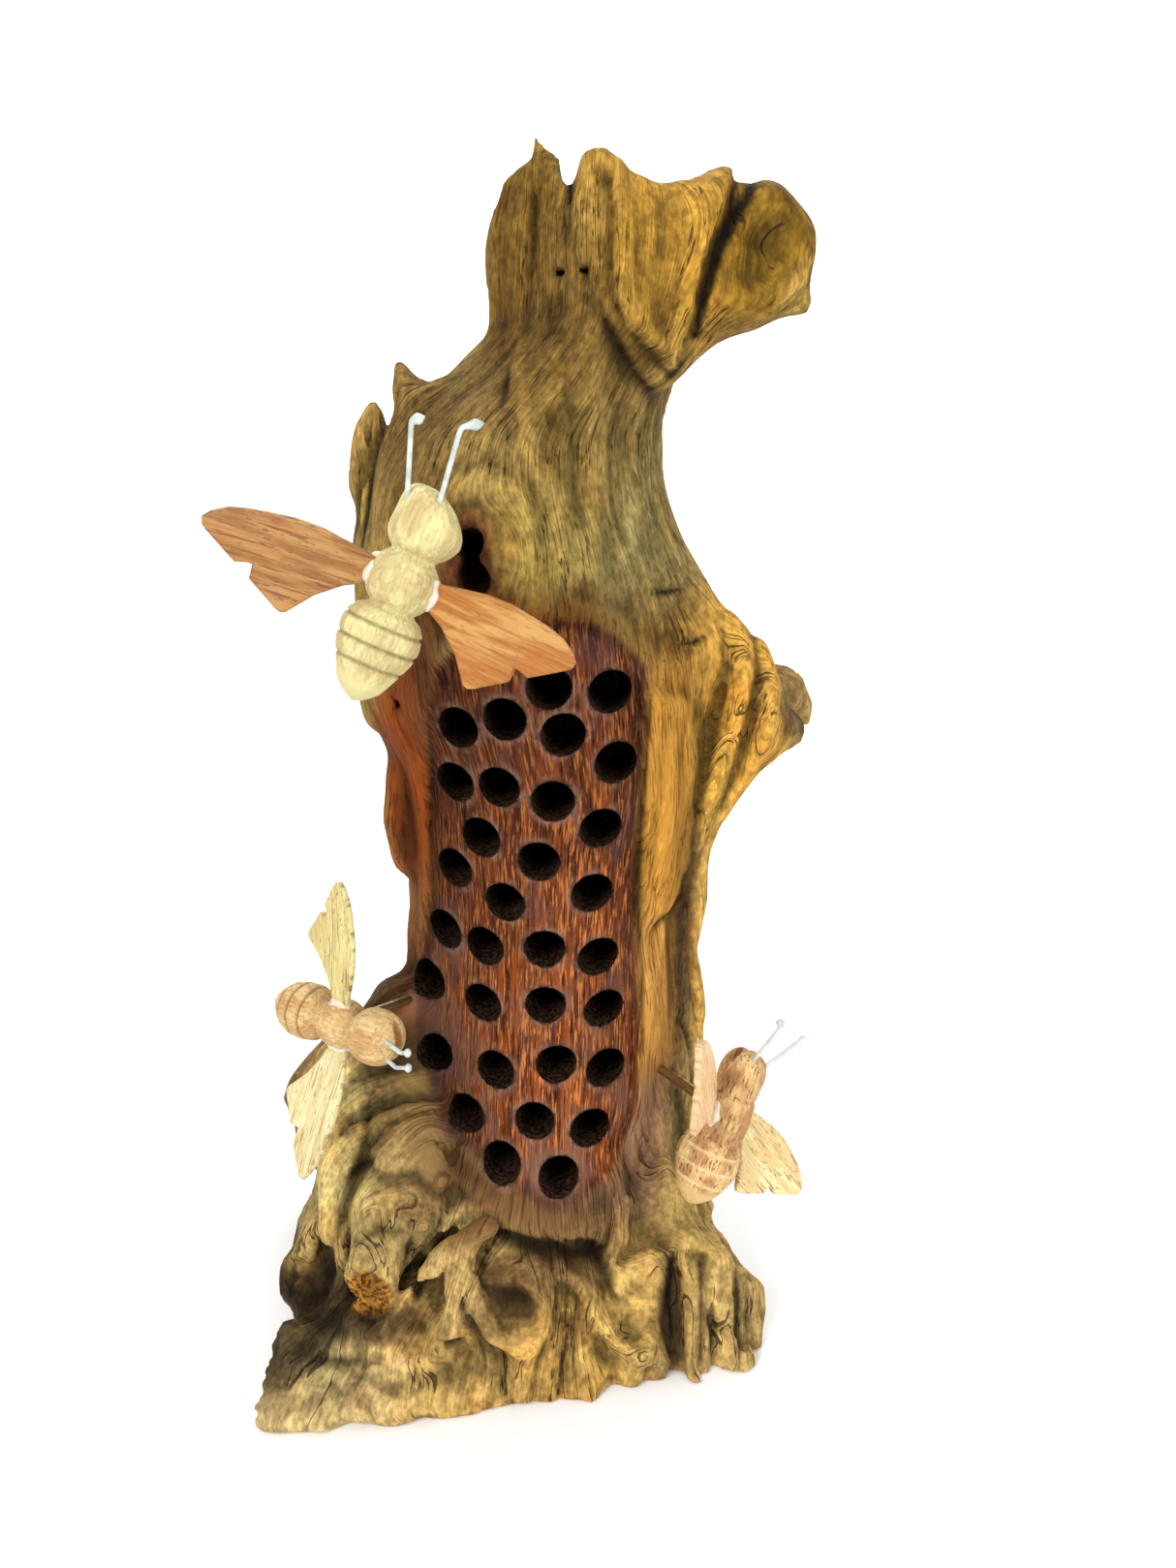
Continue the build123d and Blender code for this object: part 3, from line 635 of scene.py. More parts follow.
def cut_away(obj, tool, sharp_angle):
    """Cuts the closed mesh tool out of obj, removes the tool and sharpens the edges that it left."""
    cut = obj.modifiers.new("cut", "BOOLEAN")
    cut.operation = "DIFFERENCE"
    cut.solver = "EXACT"
    cut.object = tool
    bpy.context.view_layer.objects.active = obj
    bpy.context.view_layer.update()
    evaluated = obj.evaluated_get(bpy.context.evaluated_depsgraph_get())
    cut_mesh = bpy.data.meshes.new_from_object(evaluated)
    obj.modifiers.clear()
    old = obj.data
    obj.data = cut_mesh
    bpy.data.meshes.remove(old)
    bpy.data.objects.remove(tool)
    cut_mesh.polygons.foreach_set("use_smooth", [True] * len(cut_mesh.polygons))
    cut_mesh.set_sharp_from_angle(angle=math.radians(sharp_angle))


def bore_tool():
    """All bores as one mesh of round rods."""
    vertices, faces = [], []
    for x, z in BORES:
        mouth, outward = bore_axis(x, z)
        across = outward.orthogonal().normalized()
        up = outward.cross(across)
        faces += ring_faces(2, BORE_SIDES, len(vertices))
        for reach in (BORE_LEAD, -BORE_DEPTH):
            vertices += ring_points(mouth + outward * reach, across, up, BORE / 2, BORE_SIDES)
    return new_object("bore_tool", vertices, faces, smooth=False)


def store(mesh, **values):
    """Stores values per vertex: numbers, vectors of 3 or colours of 4."""
    kinds = {1: ("FLOAT", "value"), 3: ("FLOAT_VECTOR", "vector"), 4: ("FLOAT_COLOR", "color")}
    for name, value in values.items():
        kind, field = kinds[np.shape(value)[1] if np.ndim(value) > 1 else 1]
        data = mesh.attributes.new(name, kind, "POINT").data
        data.foreach_set(field, np.ascontiguousarray(value, np.float32).ravel())


def vertex_places(mesh):
    """The vertices in millimetres."""
    places = np.empty(len(mesh.vertices) * 3, np.float32)
    mesh.vertices.foreach_get("co", places)
    return places.reshape(-1, 3) / MM


def zone_colours(x, z, facing):
    """The wood's colour at each place, blended from the zones near it; a few dark zones are painted shadow in
    hollows.
    """
    weight = np.full(len(x), 0.02)
    colour = np.tile(PLAIN_WOOD, (len(x), 1)) * weight[:, None]
    for zone_x, zone_z, reach_x, reach_z, *shade in ZONES:
        near = np.exp(-1.3 * (((x - zone_x) / reach_x) ** 2 + ((z - zone_z) / reach_z) ** 2))
        near = near * (0.02 + 0.98 * facing)
        weight += near
        colour += near[:, None] * (np.array(shade) / 1000)
    return np.column_stack([colour / weight[:, None], np.ones(len(x))])


def bore_marks(places):
    """1 on the walls of the bores, and 1 fading to 0 around their mouths."""
    bore, rim = np.zeros(len(places)), np.zeros(len(places))
    for x, z in BORES:
        mouth, outward = (np.array(part, np.float32) for part in bore_axis(x, z))
        along = (places - mouth) @ outward
        radius = np.linalg.norm(places - mouth - along[:, None] * outward, axis=1)
        close = (along > -BORE_DEPTH - 1) & (along < BORE_LEAD)
        bore = np.maximum(bore, close * (radius < BORE / 2 + 0.08))
        worn = smoothstep(BORE / 2 + RIM_WIDTH, BORE / 2 + 0.1, radius) * (along > -4)
        rim = np.maximum(rim, close * worn)
    return bore, rim


def sawn_mark(places):
    """1 on the face of the sawn end."""
    centre, normal, radius = (np.array(part) for part in SAWN_END)
    ahead = (places - centre) @ normal
    aside = np.linalg.norm(places - centre - ahead[:, None] * normal, axis=1)
    return smoothstep(radius + SAWN_MARGIN, radius + 0.4, aside) * smoothstep(1.4, 0.5, np.abs(ahead))


def make_root():
    """The root's mesh, from the field, with its bores cut clean and what its wood reads stored on it."""
    field, axes = root_field()
    volume = openvdb.FloatGrid(BAND)
    volume.copyFromArray(field.astype(np.float32))
    corners, quads = volume.convertToQuads(isovalue=0.0)
    root = new_object("root_wood", np.asarray(corners) * VOXEL + np.array(GRID_LOW), quads.tolist())
    cut_away(root, bore_tool(), sharp_angle=50)

    places = vertex_places(root.data)
    x, y, z = places.astype(np.float64).T
    _, forward = stem_place(x, y, z)
    _, tone = relief(x, z)
    panel = inside(x, z, PANEL, 1.4) * smoothstep(-4, -9, y)
    bore, rim = bore_marks(places)
    store(
        root.data,
        grain=grain_coordinates(x, y, z),
        zone=zone_colours(x, z, smoothstep(-0.15, 0.25, forward)),
        tone=np.clip(tone, -1, 1) * smoothstep(2, -8, y),
        cavity=cavity_values(field, axes, places),
        panel=panel,
        sanded=np.maximum(panel, inside(x, z, SANDED, 3.0) * smoothstep(2, -6, y)),
        sawn=sawn_mark(places),
        bore=bore,
        rim=rim,
    )
    return root


# ---- materials ----------------------------------------------------------------------------------
class Shader:
    """A short way to build one material."""

    def __init__(self, name):
        self.material = bpy.data.materials.new(name)
        self.material.use_nodes = True
        self.tree = self.material.node_tree
        self.tree.nodes.clear()

    def add(self, kind, inputs=None, **settings):
        """A node with its settings, and its inputs by name or place."""
        node = self.tree.nodes.new(kind)
        for key, value in settings.items():
            setattr(node, key, value)
        for key, value in (inputs or {}).items():
            socket = node.inputs[key]
            if isinstance(value, bpy.types.NodeSocket):
                self.tree.links.new(value, socket)
            elif socket.type == "RGBA" and len(value) == 3:
                socket.default_value = (*value, 1)
            else:
                socket.default_value = value
        return node

    def attribute(self, name, output="Fac"):
        """What store() put on the mesh."""
        return self.add("ShaderNodeAttribute", attribute_name=name).outputs[output]

    def place(self):
        """The place on the object, in metres."""
        return self.add("ShaderNodeTexCoord").outputs["Object"]

    def noise(self, vector, scale, detail=3.0, rough=0.55, distortion=0.0):
        """Noise at a scale per axis, from about 0.3 to 0.7."""
        stretched = self.add("ShaderNodeMapping", {"Vector": vector, "Scale": scale}).outputs["Vector"]
        inputs = {"Vector": stretched, "Scale": 1.0, "Detail": detail, "Roughness": rough}
        inputs["Distortion"] = distortion
        return self.add("ShaderNodeTexNoise", inputs).outputs["Fac"]

    def ramp(self, value, low, high, to_low=0.0, to_high=1.0):
        """Carries low..high to to_low..to_high, clamped."""
        inputs = {"Value": value, "From Min": low, "From Max": high, "To Min": to_low, "To Max": to_high}
        return self.add("ShaderNodeMapRange", inputs, interpolation_type="SMOOTHSTEP").outputs["Result"]

    def math(self, operation, a, b=0.0):
        return self.add("ShaderNodeMath", {0: a, 1: b}, operation=operation).outputs["Value"]

    def times(self, a, b):
        return self.math("MULTIPLY", a, b)

    def blend(self, a, a_share, b, b_share):
        """The sum of two values, each times its share."""
        return self.math("ADD", self.times(a, a_share), self.times(b, b_share))

    def mix(self, factor, a, b, blend="MIX"):
        inputs = {"Factor": factor, 6: a, 7: b}
        return self.add("ShaderNodeMix", inputs, data_type="RGBA", blend_type=blend).outputs[2]

    def scale_colour(self, colour, value):
        """Colour times a plain value."""
        return self.add("ShaderNodeVectorMath", {0: colour, "Scale": value}, operation="SCALE").outputs[0]

    def bump(self, height, distance, strength=1.0, **normal):
        """A bumped normal, on top of another Normal if one is given."""
        inputs = {"Height": height, "Distance": distance, "Strength": strength, **normal}
        return self.add("ShaderNodeBump", inputs).outputs["Normal"]

    def finish(self, **inputs):
        """The surface, from principled inputs with underscores for spaces."""
        named = {key.replace("_", " "): value for key, value in inputs.items()}
        surface = self.add("ShaderNodeBsdfPrincipled", named)
        self.add("ShaderNodeOutputMaterial", {"Surface": surface.outputs["BSDF"]})
        return self.material

    def finish_carved(self, colour, height):
        """Dry, carved wood with fine relief."""
        normal = self.bump(height, 0.0006, 0.8)
        return self.finish(Base_Color=colour, Roughness=0.62, Normal=normal, Specular_IOR_Level=0.25)


def weathered_colour(s, grain, place, zone, fibre, split, speck, dash, red_pores):
    """Weathered wood: the zone's colour, streaked, stained and split, and plainer where it was sanded."""
    streak = s.noise(grain, (0.22, 0.22, 0.020), 4, 0.62)
    hair = s.noise(grain, (2.6, 2.6, 0.11), 2, 0.6)
    patch = s.noise(place, (46, 46, 34), 4, 0.62)
    stain = s.noise(place, (120, 120, 80), 3, 0.6)
    wood = s.scale_colour(zone, s.ramp(streak, 0.30, 0.70, 0.90, 1.12))
    wood = s.scale_colour(wood, s.ramp(fibre, 0.30, 0.70, 0.80, 1.22))
    wood = s.scale_colour(wood, s.ramp(hair, 0.32, 0.68, 0.84, 1.16))
    wood = s.mix(s.ramp(patch, 0.52, 0.66, 0, 0.6), wood, (1.10, 1.22, 1.30), "MULTIPLY")
    wood = s.mix(s.ramp(patch, 0.46, 0.34, 0, 0.6), wood, (0.78, 0.58, 0.46), "MULTIPLY")
    wood = s.mix(s.ramp(stain, 0.43, 0.30, 0, 0.8), wood, (0.46, 0.38, 0.34), "MULTIPLY")
    wood = s.mix(s.times(split, 0.8), wood, (0.022, 0.012, 0.006))
    wood = s.scale_colour(wood, s.ramp(speck, 0.33, 0.67, 0.72, 1.28))
    smooth_wood = s.mix(s.ramp(dash, 0.54, 0.68, 0, 0.75), zone, (1.45, 1.60, 1.90), "MULTIPLY")
    smooth_wood = s.mix(s.ramp(red_pores, 0.46, 0.35, 0, 0.8), smooth_wood, (0.34, 0.24, 0.20), "MULTIPLY")
    return s.mix(s.times(s.attribute("sanded"), 0.85), wood, smooth_wood)


def panel_colour(s, grain, place, dash, red_pores):
    """The drilled face: red-brown with pale dashes and dark pores, and a purple bloom low down."""
    red_streak = s.noise(grain, (0.42, 0.42, 0.030), 4, 0.65)
    red = s.mix(s.ramp(red_streak, 0.36, 0.64), (0.060, 0.0130, 0.0050), (0.215, 0.052, 0.0110))
    spot = s.add("ShaderNodeSeparateXYZ", {"Vector": place})
    low = s.ramp(spot.outputs["Z"], 0.170, 0.060, 0.75, 1.52)
    rightward = s.ramp(spot.outputs["X"], -0.030, 0.020, 0.74, 1.14)
    red = s.mix(s.ramp(dash, 0.51, 0.63, 0, 0.88), red, (0.520, 0.175, 0.045))
    red = s.scale_colour(s.scale_colour(red, low), rightward)
    red = s.mix(s.ramp(red_pores, 0.45, 0.34, 0, 0.9), red, (0.016, 0.005, 0.003))
    dust = s.noise(place, (60, 60, 36), 4, 0.6)
    red = s.mix(s.ramp(dust, 0.53, 0.68, 0, 0.55), red, (0.125, 0.055, 0.048))
    bloom = s.times(s.ramp(dust, 0.40, 0.58), s.ramp(spot.outputs["Z"], 0.120, 0.065, 0, 0.6))
    return s.mix(bloom, red, (0.230, 0.118, 0.078))


def root_material():
    """Weathered wood with a sanded, drilled red-brown face."""
    s = Shader("root_wood")
    grain, place, zone = s.attribute("grain", "Vector"), s.place(), s.attribute("zone", "Color")
    tone, cavity = s.attribute("tone"), s.attribute("cavity")
    fibre = s.noise(grain, (1.1, 1.1, 0.060), 4, 0.65)
    crack = s.noise(grain, (0.36, 0.36, 0.030), 3, 0.55)
    crack_place = s.noise(place, (70, 70, 50), 2, 0.5)
    speck = s.noise(place, (620, 620, 420), 2, 0.6)
    dash = s.noise(grain, (1.55, 1.55, 0.17), 3, 0.6)
    red_pores = s.noise(grain, (1.5, 1.5, 0.12), 2, 0.5)
    split = s.ramp(s.math("ABSOLUTE", s.math("SUBTRACT", crack, 0.5)), 0.014, 0.003)
    split = s.times(split, s.ramp(crack_place, 0.47, 0.57))
    wood = weathered_colour(s, grain, place, zone, fibre, split, speck, dash, red_pores)
    colour = s.mix(s.attribute("panel"), wood, panel_colour(s, grain, place, dash, red_pores))

    worn = s.ramp(s.noise(place, (200, 200, 200), 2), 0.40, 0.58, 0.05, 0.62)
    colour = s.mix(s.times(s.attribute("rim"), worn), colour, (0.270, 0.150, 0.105))
    crumb = s.noise(place, (800, 800, 800), 3, 0.7)
    cork = s.mix(s.ramp(crumb, 0.40, 0.62), (0.130, 0.040, 0.006), (0.520, 0.235, 0.035))
    colour = s.mix(s.attribute("sawn"), colour, cork)
    # Painted shade along the front's grooves and hollows and a painted highlight along its ridges; the real
    # scratches and cracks are darkened here too.
    colour = s.mix(s.times(s.ramp(tone, 0.0, -1.0), 0.92), colour, (0.018, 0.010, 0.005))
    colour = s.scale_colour(colour, s.ramp(tone, 0.0, 0.8, 1.0, 1.45))
    # Painted shade in the hollows and a painted highlight on the crests, from how hollow the surface is.
    colour = s.scale_colour(colour, s.ramp(cavity, -1.1, 1.3, 1.10, 0.30))
    # The bore walls are painted near-black and mottled: painted shadow inside the holes.
    bore_shadow_mottle = s.noise(place, (900, 900, 900), 2)
    bore_shadow = s.mix(s.ramp(bore_shadow_mottle, 0.40, 0.66), (0.008, 0.004, 0.003), (0.075, 0.036, 0.018))
    colour = s.mix(s.attribute("bore"), colour, bore_shadow)

    normal = s.bump(s.blend(fibre, 0.8, split, -0.7), 0.0014, 0.9)
    normal = s.bump(s.blend(red_pores, 0.7, speck, 0.4), 0.0008, 0.8, Normal=normal)
    rough = s.ramp(fibre, 0.3, 0.7, 0.62, 0.85)
    return s.finish(Base_Color=colour, Roughness=rough, Normal=normal, Specular_IOR_Level=0.08)


def bee_wood_material(name, pore_share, light, dark, pore, ring):
    """Turned and carved wood of one bee's body, with its carved rings picked out."""
    s = Shader(name)
    along = s.attribute("local", "Vector")
    cloud = s.noise(along, (0.12, 0.24, 0.24), 3, 0.6)
    streak = s.noise(along, (0.16, 1.3, 1.3), 3, 0.6)
    dashes = s.noise(along, (0.42, 1.9, 1.9), 3, 0.6)
    blotch = s.noise(along, (0.5, 0.5, 0.5), 2, 0.5)
    colour = s.mix(s.ramp(cloud, 0.38, 0.62), light, dark)
    colour = s.scale_colour(colour, s.ramp(streak, 0.3, 0.7, 0.80, 1.16))
    colour = s.mix(s.ramp(dashes, 0.46, 0.36, 0, pore_share), colour, pore)
    colour = s.mix(s.times(s.attribute("carved"), s.ramp(blotch, 0.44, 0.58, 0, 0.55)), colour, dark)
    colour = s.mix(s.attribute("tip"), colour, light)
    colour = s.mix(s.attribute("groove"), colour, ring)
    return s.finish_carved(colour, s.blend(dashes, 0.8, streak, 0.4))


def wing_material(name, streak_share, light, dark, streak, tint):
    """Sawn wing wood with streaks running out along the wing."""
    s = Shader(name)
    along = s.attribute("local", "Vector")
    band = s.noise(along, (0.050, 0.42, 0.3), 3, 0.6, 0.5)
    line = s.noise(along, (0.085, 1.5, 1.0), 3, 0.6)
    pits = s.noise(along, (0.50, 2.2, 1.6), 2, 0.5)
    cloud = s.noise(along, (0.12, 0.20, 0.2), 2, 0.5)
    colour = s.mix(s.ramp(band, 0.38, 0.62), dark, light)
    colour = s.mix(s.ramp(cloud, 0.52, 0.70, 0, 0.6), colour, tint)
    colour = s.mix(s.ramp(line, 0.555, 0.645, 0, streak_share), colour, streak)
    colour = s.mix(s.ramp(pits, 0.38, 0.30, 0, streak_share), colour, streak)
    rim_speck = s.times(s.attribute("edge"), s.ramp(pits, 0.50, 0.40, 0, 0.7 * streak_share))
    colour = s.mix(rim_speck, colour, (0.16, 0.13, 0.09))
    return s.finish_carved(colour, s.blend(line, -0.9, pits, 0.6))


def nylon_material():
    """The antennae's milky nylon."""
    s = Shader("nylon")
    cloud = s.noise(s.place(), (300, 300, 300), 2)
    colour = s.mix(s.ramp(cloud, 0.35, 0.65), (0.54, 0.60, 0.56), (0.74, 0.79, 0.74))
    return s.finish(Base_Color=colour, Roughness=0.28, Transmission_Weight=0.35, IOR=1.5)


def glue_material():
    """Yellowed hot glue."""
    s = Shader("hot_glue")
    cloud = s.noise(s.place(), (500, 500, 500), 2)
    colour = s.mix(s.ramp(cloud, 0.35, 0.65), (0.74, 0.62, 0.45), (0.88, 0.80, 0.66))
    normal = s.bump(cloud, 0.0004, 0.4)
    return s.finish(Base_Color=colour, Roughness=0.3, Normal=normal, Transmission_Weight=0.25)


def steel_material():
    """The nails' worn, browned steel."""
    s = Shader("pin_steel")
    wear = s.noise(s.place(), (700, 700, 120), 3)
    colour = s.mix(s.ramp(wear, 0.4, 0.62), (0.40, 0.27, 0.12), (0.24, 0.15, 0.06))
    return s.finish(Base_Color=colour, Metallic=1.0, Roughness=s.ramp(wear, 0.3, 0.7, 0.35, 0.6))


# ---- the bees, in their own millimetres: X to the head, Y to the left, Z out of the back ----------
# A wing's angles are its sweep, rise and pitch. An antenna has its foot, the way it goes, how far it
# reaches, and the hook at its end.
BEES = {
    "upper_bee": dict(
        head=7.2, thorax=7.0, abdomen=8.2, front=18.6, tail=-25.0, neck=0.62, head_slant=0.28, seed=3,
        slot="bee_wood_cream", wing_slot="wing_wood_orange",
        wings=dict(left=(-6, 18, 12), right=(0, 22, 6)),
        antennae=dict(left=((13.4, 4.4, 3.4), (0.95, 0.31, 0.35), 16.0, (1.8, -1.9, 0.2)),
                      right=((14.0, -1.2, 3.6), (0.99, 0.10, 0.35), 17.6, (2.4, -3.6, 0.2)))),
    "left_bee": dict(
        head=6.8, thorax=6.2, abdomen=7.1, front=18.0, tail=-23.0, neck=0.62, head_slant=0.0, seed=4,
        slot="bee_wood_tan", wing_slot="wing_wood_pale",
        wings=dict(left=(4, 8, 10), right=(4, 22, 6)),
        antennae=dict(left=((14.0, 1.6, 2.2), (1.0, -0.12, 0.20), 9.0, (3.0, 0.9, 0.0)),
                      right=((15.0, -3.4, 1.4), (0.9, -0.22, 0.12), 5.0, (4.6, 1.3, 0.0)))),
    "right_bee": dict(
        head=5.8, thorax=6.5, abdomen=8.1, front=17.0, tail=-24.0, neck=0.88, head_slant=0.0, seed=5,
        slot="bee_wood_brown", wing_slot="wing_wood_pale",
        wings=dict(left=(36, 22, -14), right=(-29, 8, -8)),
        antennae=dict(left=((13.0, 1.9, 2.5), (1.0, 0.06, 0.42), 14.0, (2.0, 1.6, 0.2)),
                      right=((12.0, -2.0, 2.5), (1.0, -0.42, 0.42), 13.0, (1.6, -2.0, 0.2)))),
}
SIDES = {"left": 1, "right": -1}
WAIST = 5.4  # how far the thorax reaches along X, each way
HEAD_BACK = 4.6
RING_PLACES = (-9.0, -13.0, -17.0)
MOUTH_DEPTH = 3.8
MOUTH_GAP = 3.0
MOUTH_RISE = -0.9
WING_REACH = 32
WING_ROOT = -3
NOTCH = (20.7, 21.3)
# The wing's edges, as (out from the body, forward).
WING_LEADING = (
    (-3, 2.2), (0, 2.7), (5, 3.7), (10.7, 4.8), (16, 5), (20.8, 4.5), (25, 3.9), (28, 3.1), (30.6, 1.6),
    (WING_REACH, 0),
)
WING_TRAILING = (
    (-3, -2.2), (0, -2.8), (4.1, -4.7), (8.5, -8.1), (11.6, -11.8), (12.6, -13), (13.6, -13.5), (14.8, -13),
    (20.9, -8.8), (21.1, -5.9), (22.1, -5.8), (24.4, -6.4), (30.6, -2.2), (31.6, -1.4), (WING_REACH, 0),
)
WING_THICKNESS = 1.8
WING_RISE = 0.8  # how far the wings' roots and their glue are above the middle of the thorax
GLUE_RADII = (3.4, 1.9, 2.3)
STALK_RADIUS = 0.50
BLOB_SWELL = 0.58
BLOB_PLACE = 0.935  # along the antenna, from 0 to 1
BLOB_LENGTH = 0.060

# Body woods: how strong the pores are, then the colours of light, dark, pores and rings.
BEE_WOODS = {
    "bee_wood_cream": (0.35, (0.61, 0.535, 0.255), (0.49, 0.385, 0.165), (0.38, 0.26, 0.1), (0.26, 0.2, 0.07)),
    "bee_wood_tan": (0.5, (0.62, 0.44, 0.195), (0.5, 0.29, 0.115), (0.28, 0.13, 0.05), (0.24, 0.12, 0.04)),
    "bee_wood_brown": (0.95, (0.66, 0.44, 0.18), (0.42, 0.21, 0.08), (0.17, 0.055, 0.022), (0.8, 0.62, 0.32)),
}
# Wing woods: how strong the streaks are, then the colours of light, dark, streaks and clouds.
WING_WOODS = {
    "upper_bee": {
        "left": (0.75, (0.41, 0.225, 0.078), (0.27, 0.112, 0.034), (0.17, 0.045, 0.018), (0.42, 0.19, 0.06)),
        "right": (0.55, (0.5, 0.265, 0.078), (0.35, 0.13, 0.024), (0.26, 0.08, 0.02), (0.4, 0.13, 0.025)),
    },
    "left_bee": {
        "left": (0.85, (0.63, 0.55, 0.225), (0.53, 0.42, 0.165), (0.27, 0.12, 0.05), (0.66, 0.56, 0.22)),
        "right": (0.75, (0.7, 0.62, 0.33), (0.57, 0.47, 0.22), (0.34, 0.17, 0.07), (0.72, 0.66, 0.42)),
    },
    "right_bee": {
        "left": (0.7, (0.74, 0.52, 0.27), (0.66, 0.4, 0.19), (0.42, 0.15, 0.08), (0.7, 0.45, 0.24)),
        "right": (0.85, (0.74, 0.62, 0.32), (0.64, 0.47, 0.2), (0.3, 0.1, 0.04), (0.74, 0.66, 0.4)),
    },
}


def bee_frame(bee_name, frame):
    """The bee's own axes in the row frame, from its joint and the tip of its CAD tail."""
    joint = next(j for j in frame["joints"] if j["child"] == bee_name)
    middle, back = Vector(joint["pos_m"]), Vector(joint["axis"]).normalized()
    body = frame["nodes"][bee_name + "_body"].data
    tail = max((v.co for v in body.vertices), key=lambda co: (co - middle).length)
    heading = -(tail - middle)
    heading = (heading - back * heading.dot(back)).normalized()
    axes = Matrix((heading, back.cross(heading), back)).transposed().to_4x4()
    return Matrix.Translation(middle) @ axes


def place_bee_part(obj, bee_matrix, bee_name, slot, node):
    """Moves a part made in the bee's millimetres into the row frame and lets it ride."""
    obj.data.transform(bee_matrix)
    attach(obj, bee_name)
    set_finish(obj, slot)
    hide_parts(node)
    return obj


def body_radius(bee, x):
    """Radius of the turned body along x, before carving."""
    girth, thorax, front, tail = bee["abdomen"], bee["thorax"], bee["front"], bee["tail"]
    neck = bee["neck"] * thorax
    stations = (
        (tail, 0.0), (tail + 0.5, 0.17 * girth), (tail + 1.4, 0.33 * girth), (tail + 3.2, 0.56 * girth),
        (-17, 0.84 * girth), (-14, 0.97 * girth), (-11, girth), (-8.5, 0.95 * girth), (-6.6, 0.80 * girth),
        (-WAIST, neck),
    )
    abdomen = np.interp(x, *np.array(stations).T)
    ball = thorax * np.sqrt(np.clip(1 - (x / WAIST) ** 2 * (1 - bee["neck"] ** 2), 0, 1))
    middle, half = (front + HEAD_BACK) / 2, (front - HEAD_BACK) / 2
    dome = bee["head"] * np.clip(1 - np.abs((x - middle) / half) ** 2.4, 0, 1) ** 0.5
    head = np.maximum(dome, np.where(x < middle, neck, 0))
    return np.where(x < -WAIST, abdomen, np.where(x < WAIST, ball, head))


def make_bee_body(bee_name, bee, bee_matrix):
    """Turned body with ring grooves, knife marks and a mouth slot."""
    rows, sides = 190, 84
    tail, front, slant = bee["tail"], bee["front"], bee["head_slant"]
    x = np.linspace(tail + 0.02, front - 0.02, rows)
    angle = np.linspace(0, 2 * math.pi, sides, endpoint=False)
    xs, angles = np.meshgrid(x, angle, indexing="ij")
    leftward, upward = np.cos(angles), np.sin(angles)
    ease = np.hanning(7) / np.hanning(7).sum()
    base = np.convolve(np.pad(body_radius(bee, x), 3, mode="edge"), ease, mode="valid")
    radius = np.tile(base[:, None], (1, sides))
    groove = sum(gauss(xs - at, 0.34) for at in RING_PLACES)
    groove = groove + 0.7 * gauss(xs - WAIST, 0.30) * (bee["neck"] > 0.7)
    stagger = 0.5 * (np.floor((xs + 9) / 4) % 2)
    rib_place = (angles * 15 / (2 * math.pi) + 0.10 * np.sin(1.3 * xs) + stagger) % 1
    ribs = gauss(rib_place - 0.5, 0.10) * smoothstep(-19, -17.5, xs) * smoothstep(-8.6, -9.4, xs)
    ribs = ribs * smoothstep(-0.3, 0.1, upward)
    skin = np.stack([xs, 8 * leftward, 8 * upward], axis=-1)
    facets = lattice_noise(skin, (3.2, 2.6, 2.6), bee["seed"])
    dents = 1 - np.abs(lattice_noise(skin, (2.0, 1.8, 1.8), bee["seed"] + 9)) * 2.2
    pores = lattice_noise(skin, (1.5, 0.55, 0.55), bee["seed"] + 19)
    chest = np.exp(-((xs / 4.2) ** 4)) * smoothstep(0.0, 0.5, upward)
    brow = gauss(xs - 12, 3.4) * leftward * abs(slant) * 2.2
    carved = 0.55 * groove + 0.22 * ribs - 0.18 * facets + 0.42 * chest * np.clip(dents, 0, 1) + brow
    radius = radius - smoothstep(0, 2.5, radius) * (carved + 0.10 * np.clip(pores - 0.2, 0, 1))
    xs = xs + slant * radius * leftward * smoothstep(8, 17, xs)
    vertices = np.stack([xs, radius * leftward, radius * upward], axis=-1)
    body = new_object(bee_name + "_wood", vertices, ring_faces(rows, sides))
    cut_away(body, mouth_tool(bee), sharp_angle=45)
    places = vertex_places(body.data).astype(np.float64)
    x, y, z = places.T
    upward = np.sin(np.arctan2(z, y))
    store(
        body.data, local=places + 40 * bee["seed"],
        groove=0.8 * sum(gauss(x - at, 0.40) for at in RING_PLACES) * (upward > -0.6),
        tip=smoothstep(tail + 7, tail + 3, x), carved=np.exp(-((x / 4.6) ** 4)) * (upward > 0.1),
    )
    return place_bee_part(body, bee_matrix, bee_name, bee["slot"], bee_name + "_body")


def mouth_tool(bee):
    """The block that saws the slot between the jaws, right across the head."""
    half, across = MOUTH_GAP / 2, 2 * bee["head"]
    low = (bee["front"] - MOUTH_DEPTH, -across, MOUTH_RISE - half)
    top = (bee["front"] + 6, across, MOUTH_RISE + half)
    corners = list(itertools.product(*zip(low, top)))
    faces = ((0, 1, 3, 2), (4, 6, 7, 5), (0, 4, 5, 1), (2, 3, 7, 6), (0, 2, 6, 4), (1, 5, 7, 3))
    return new_object("mouth_tool", corners, faces, smooth=False)


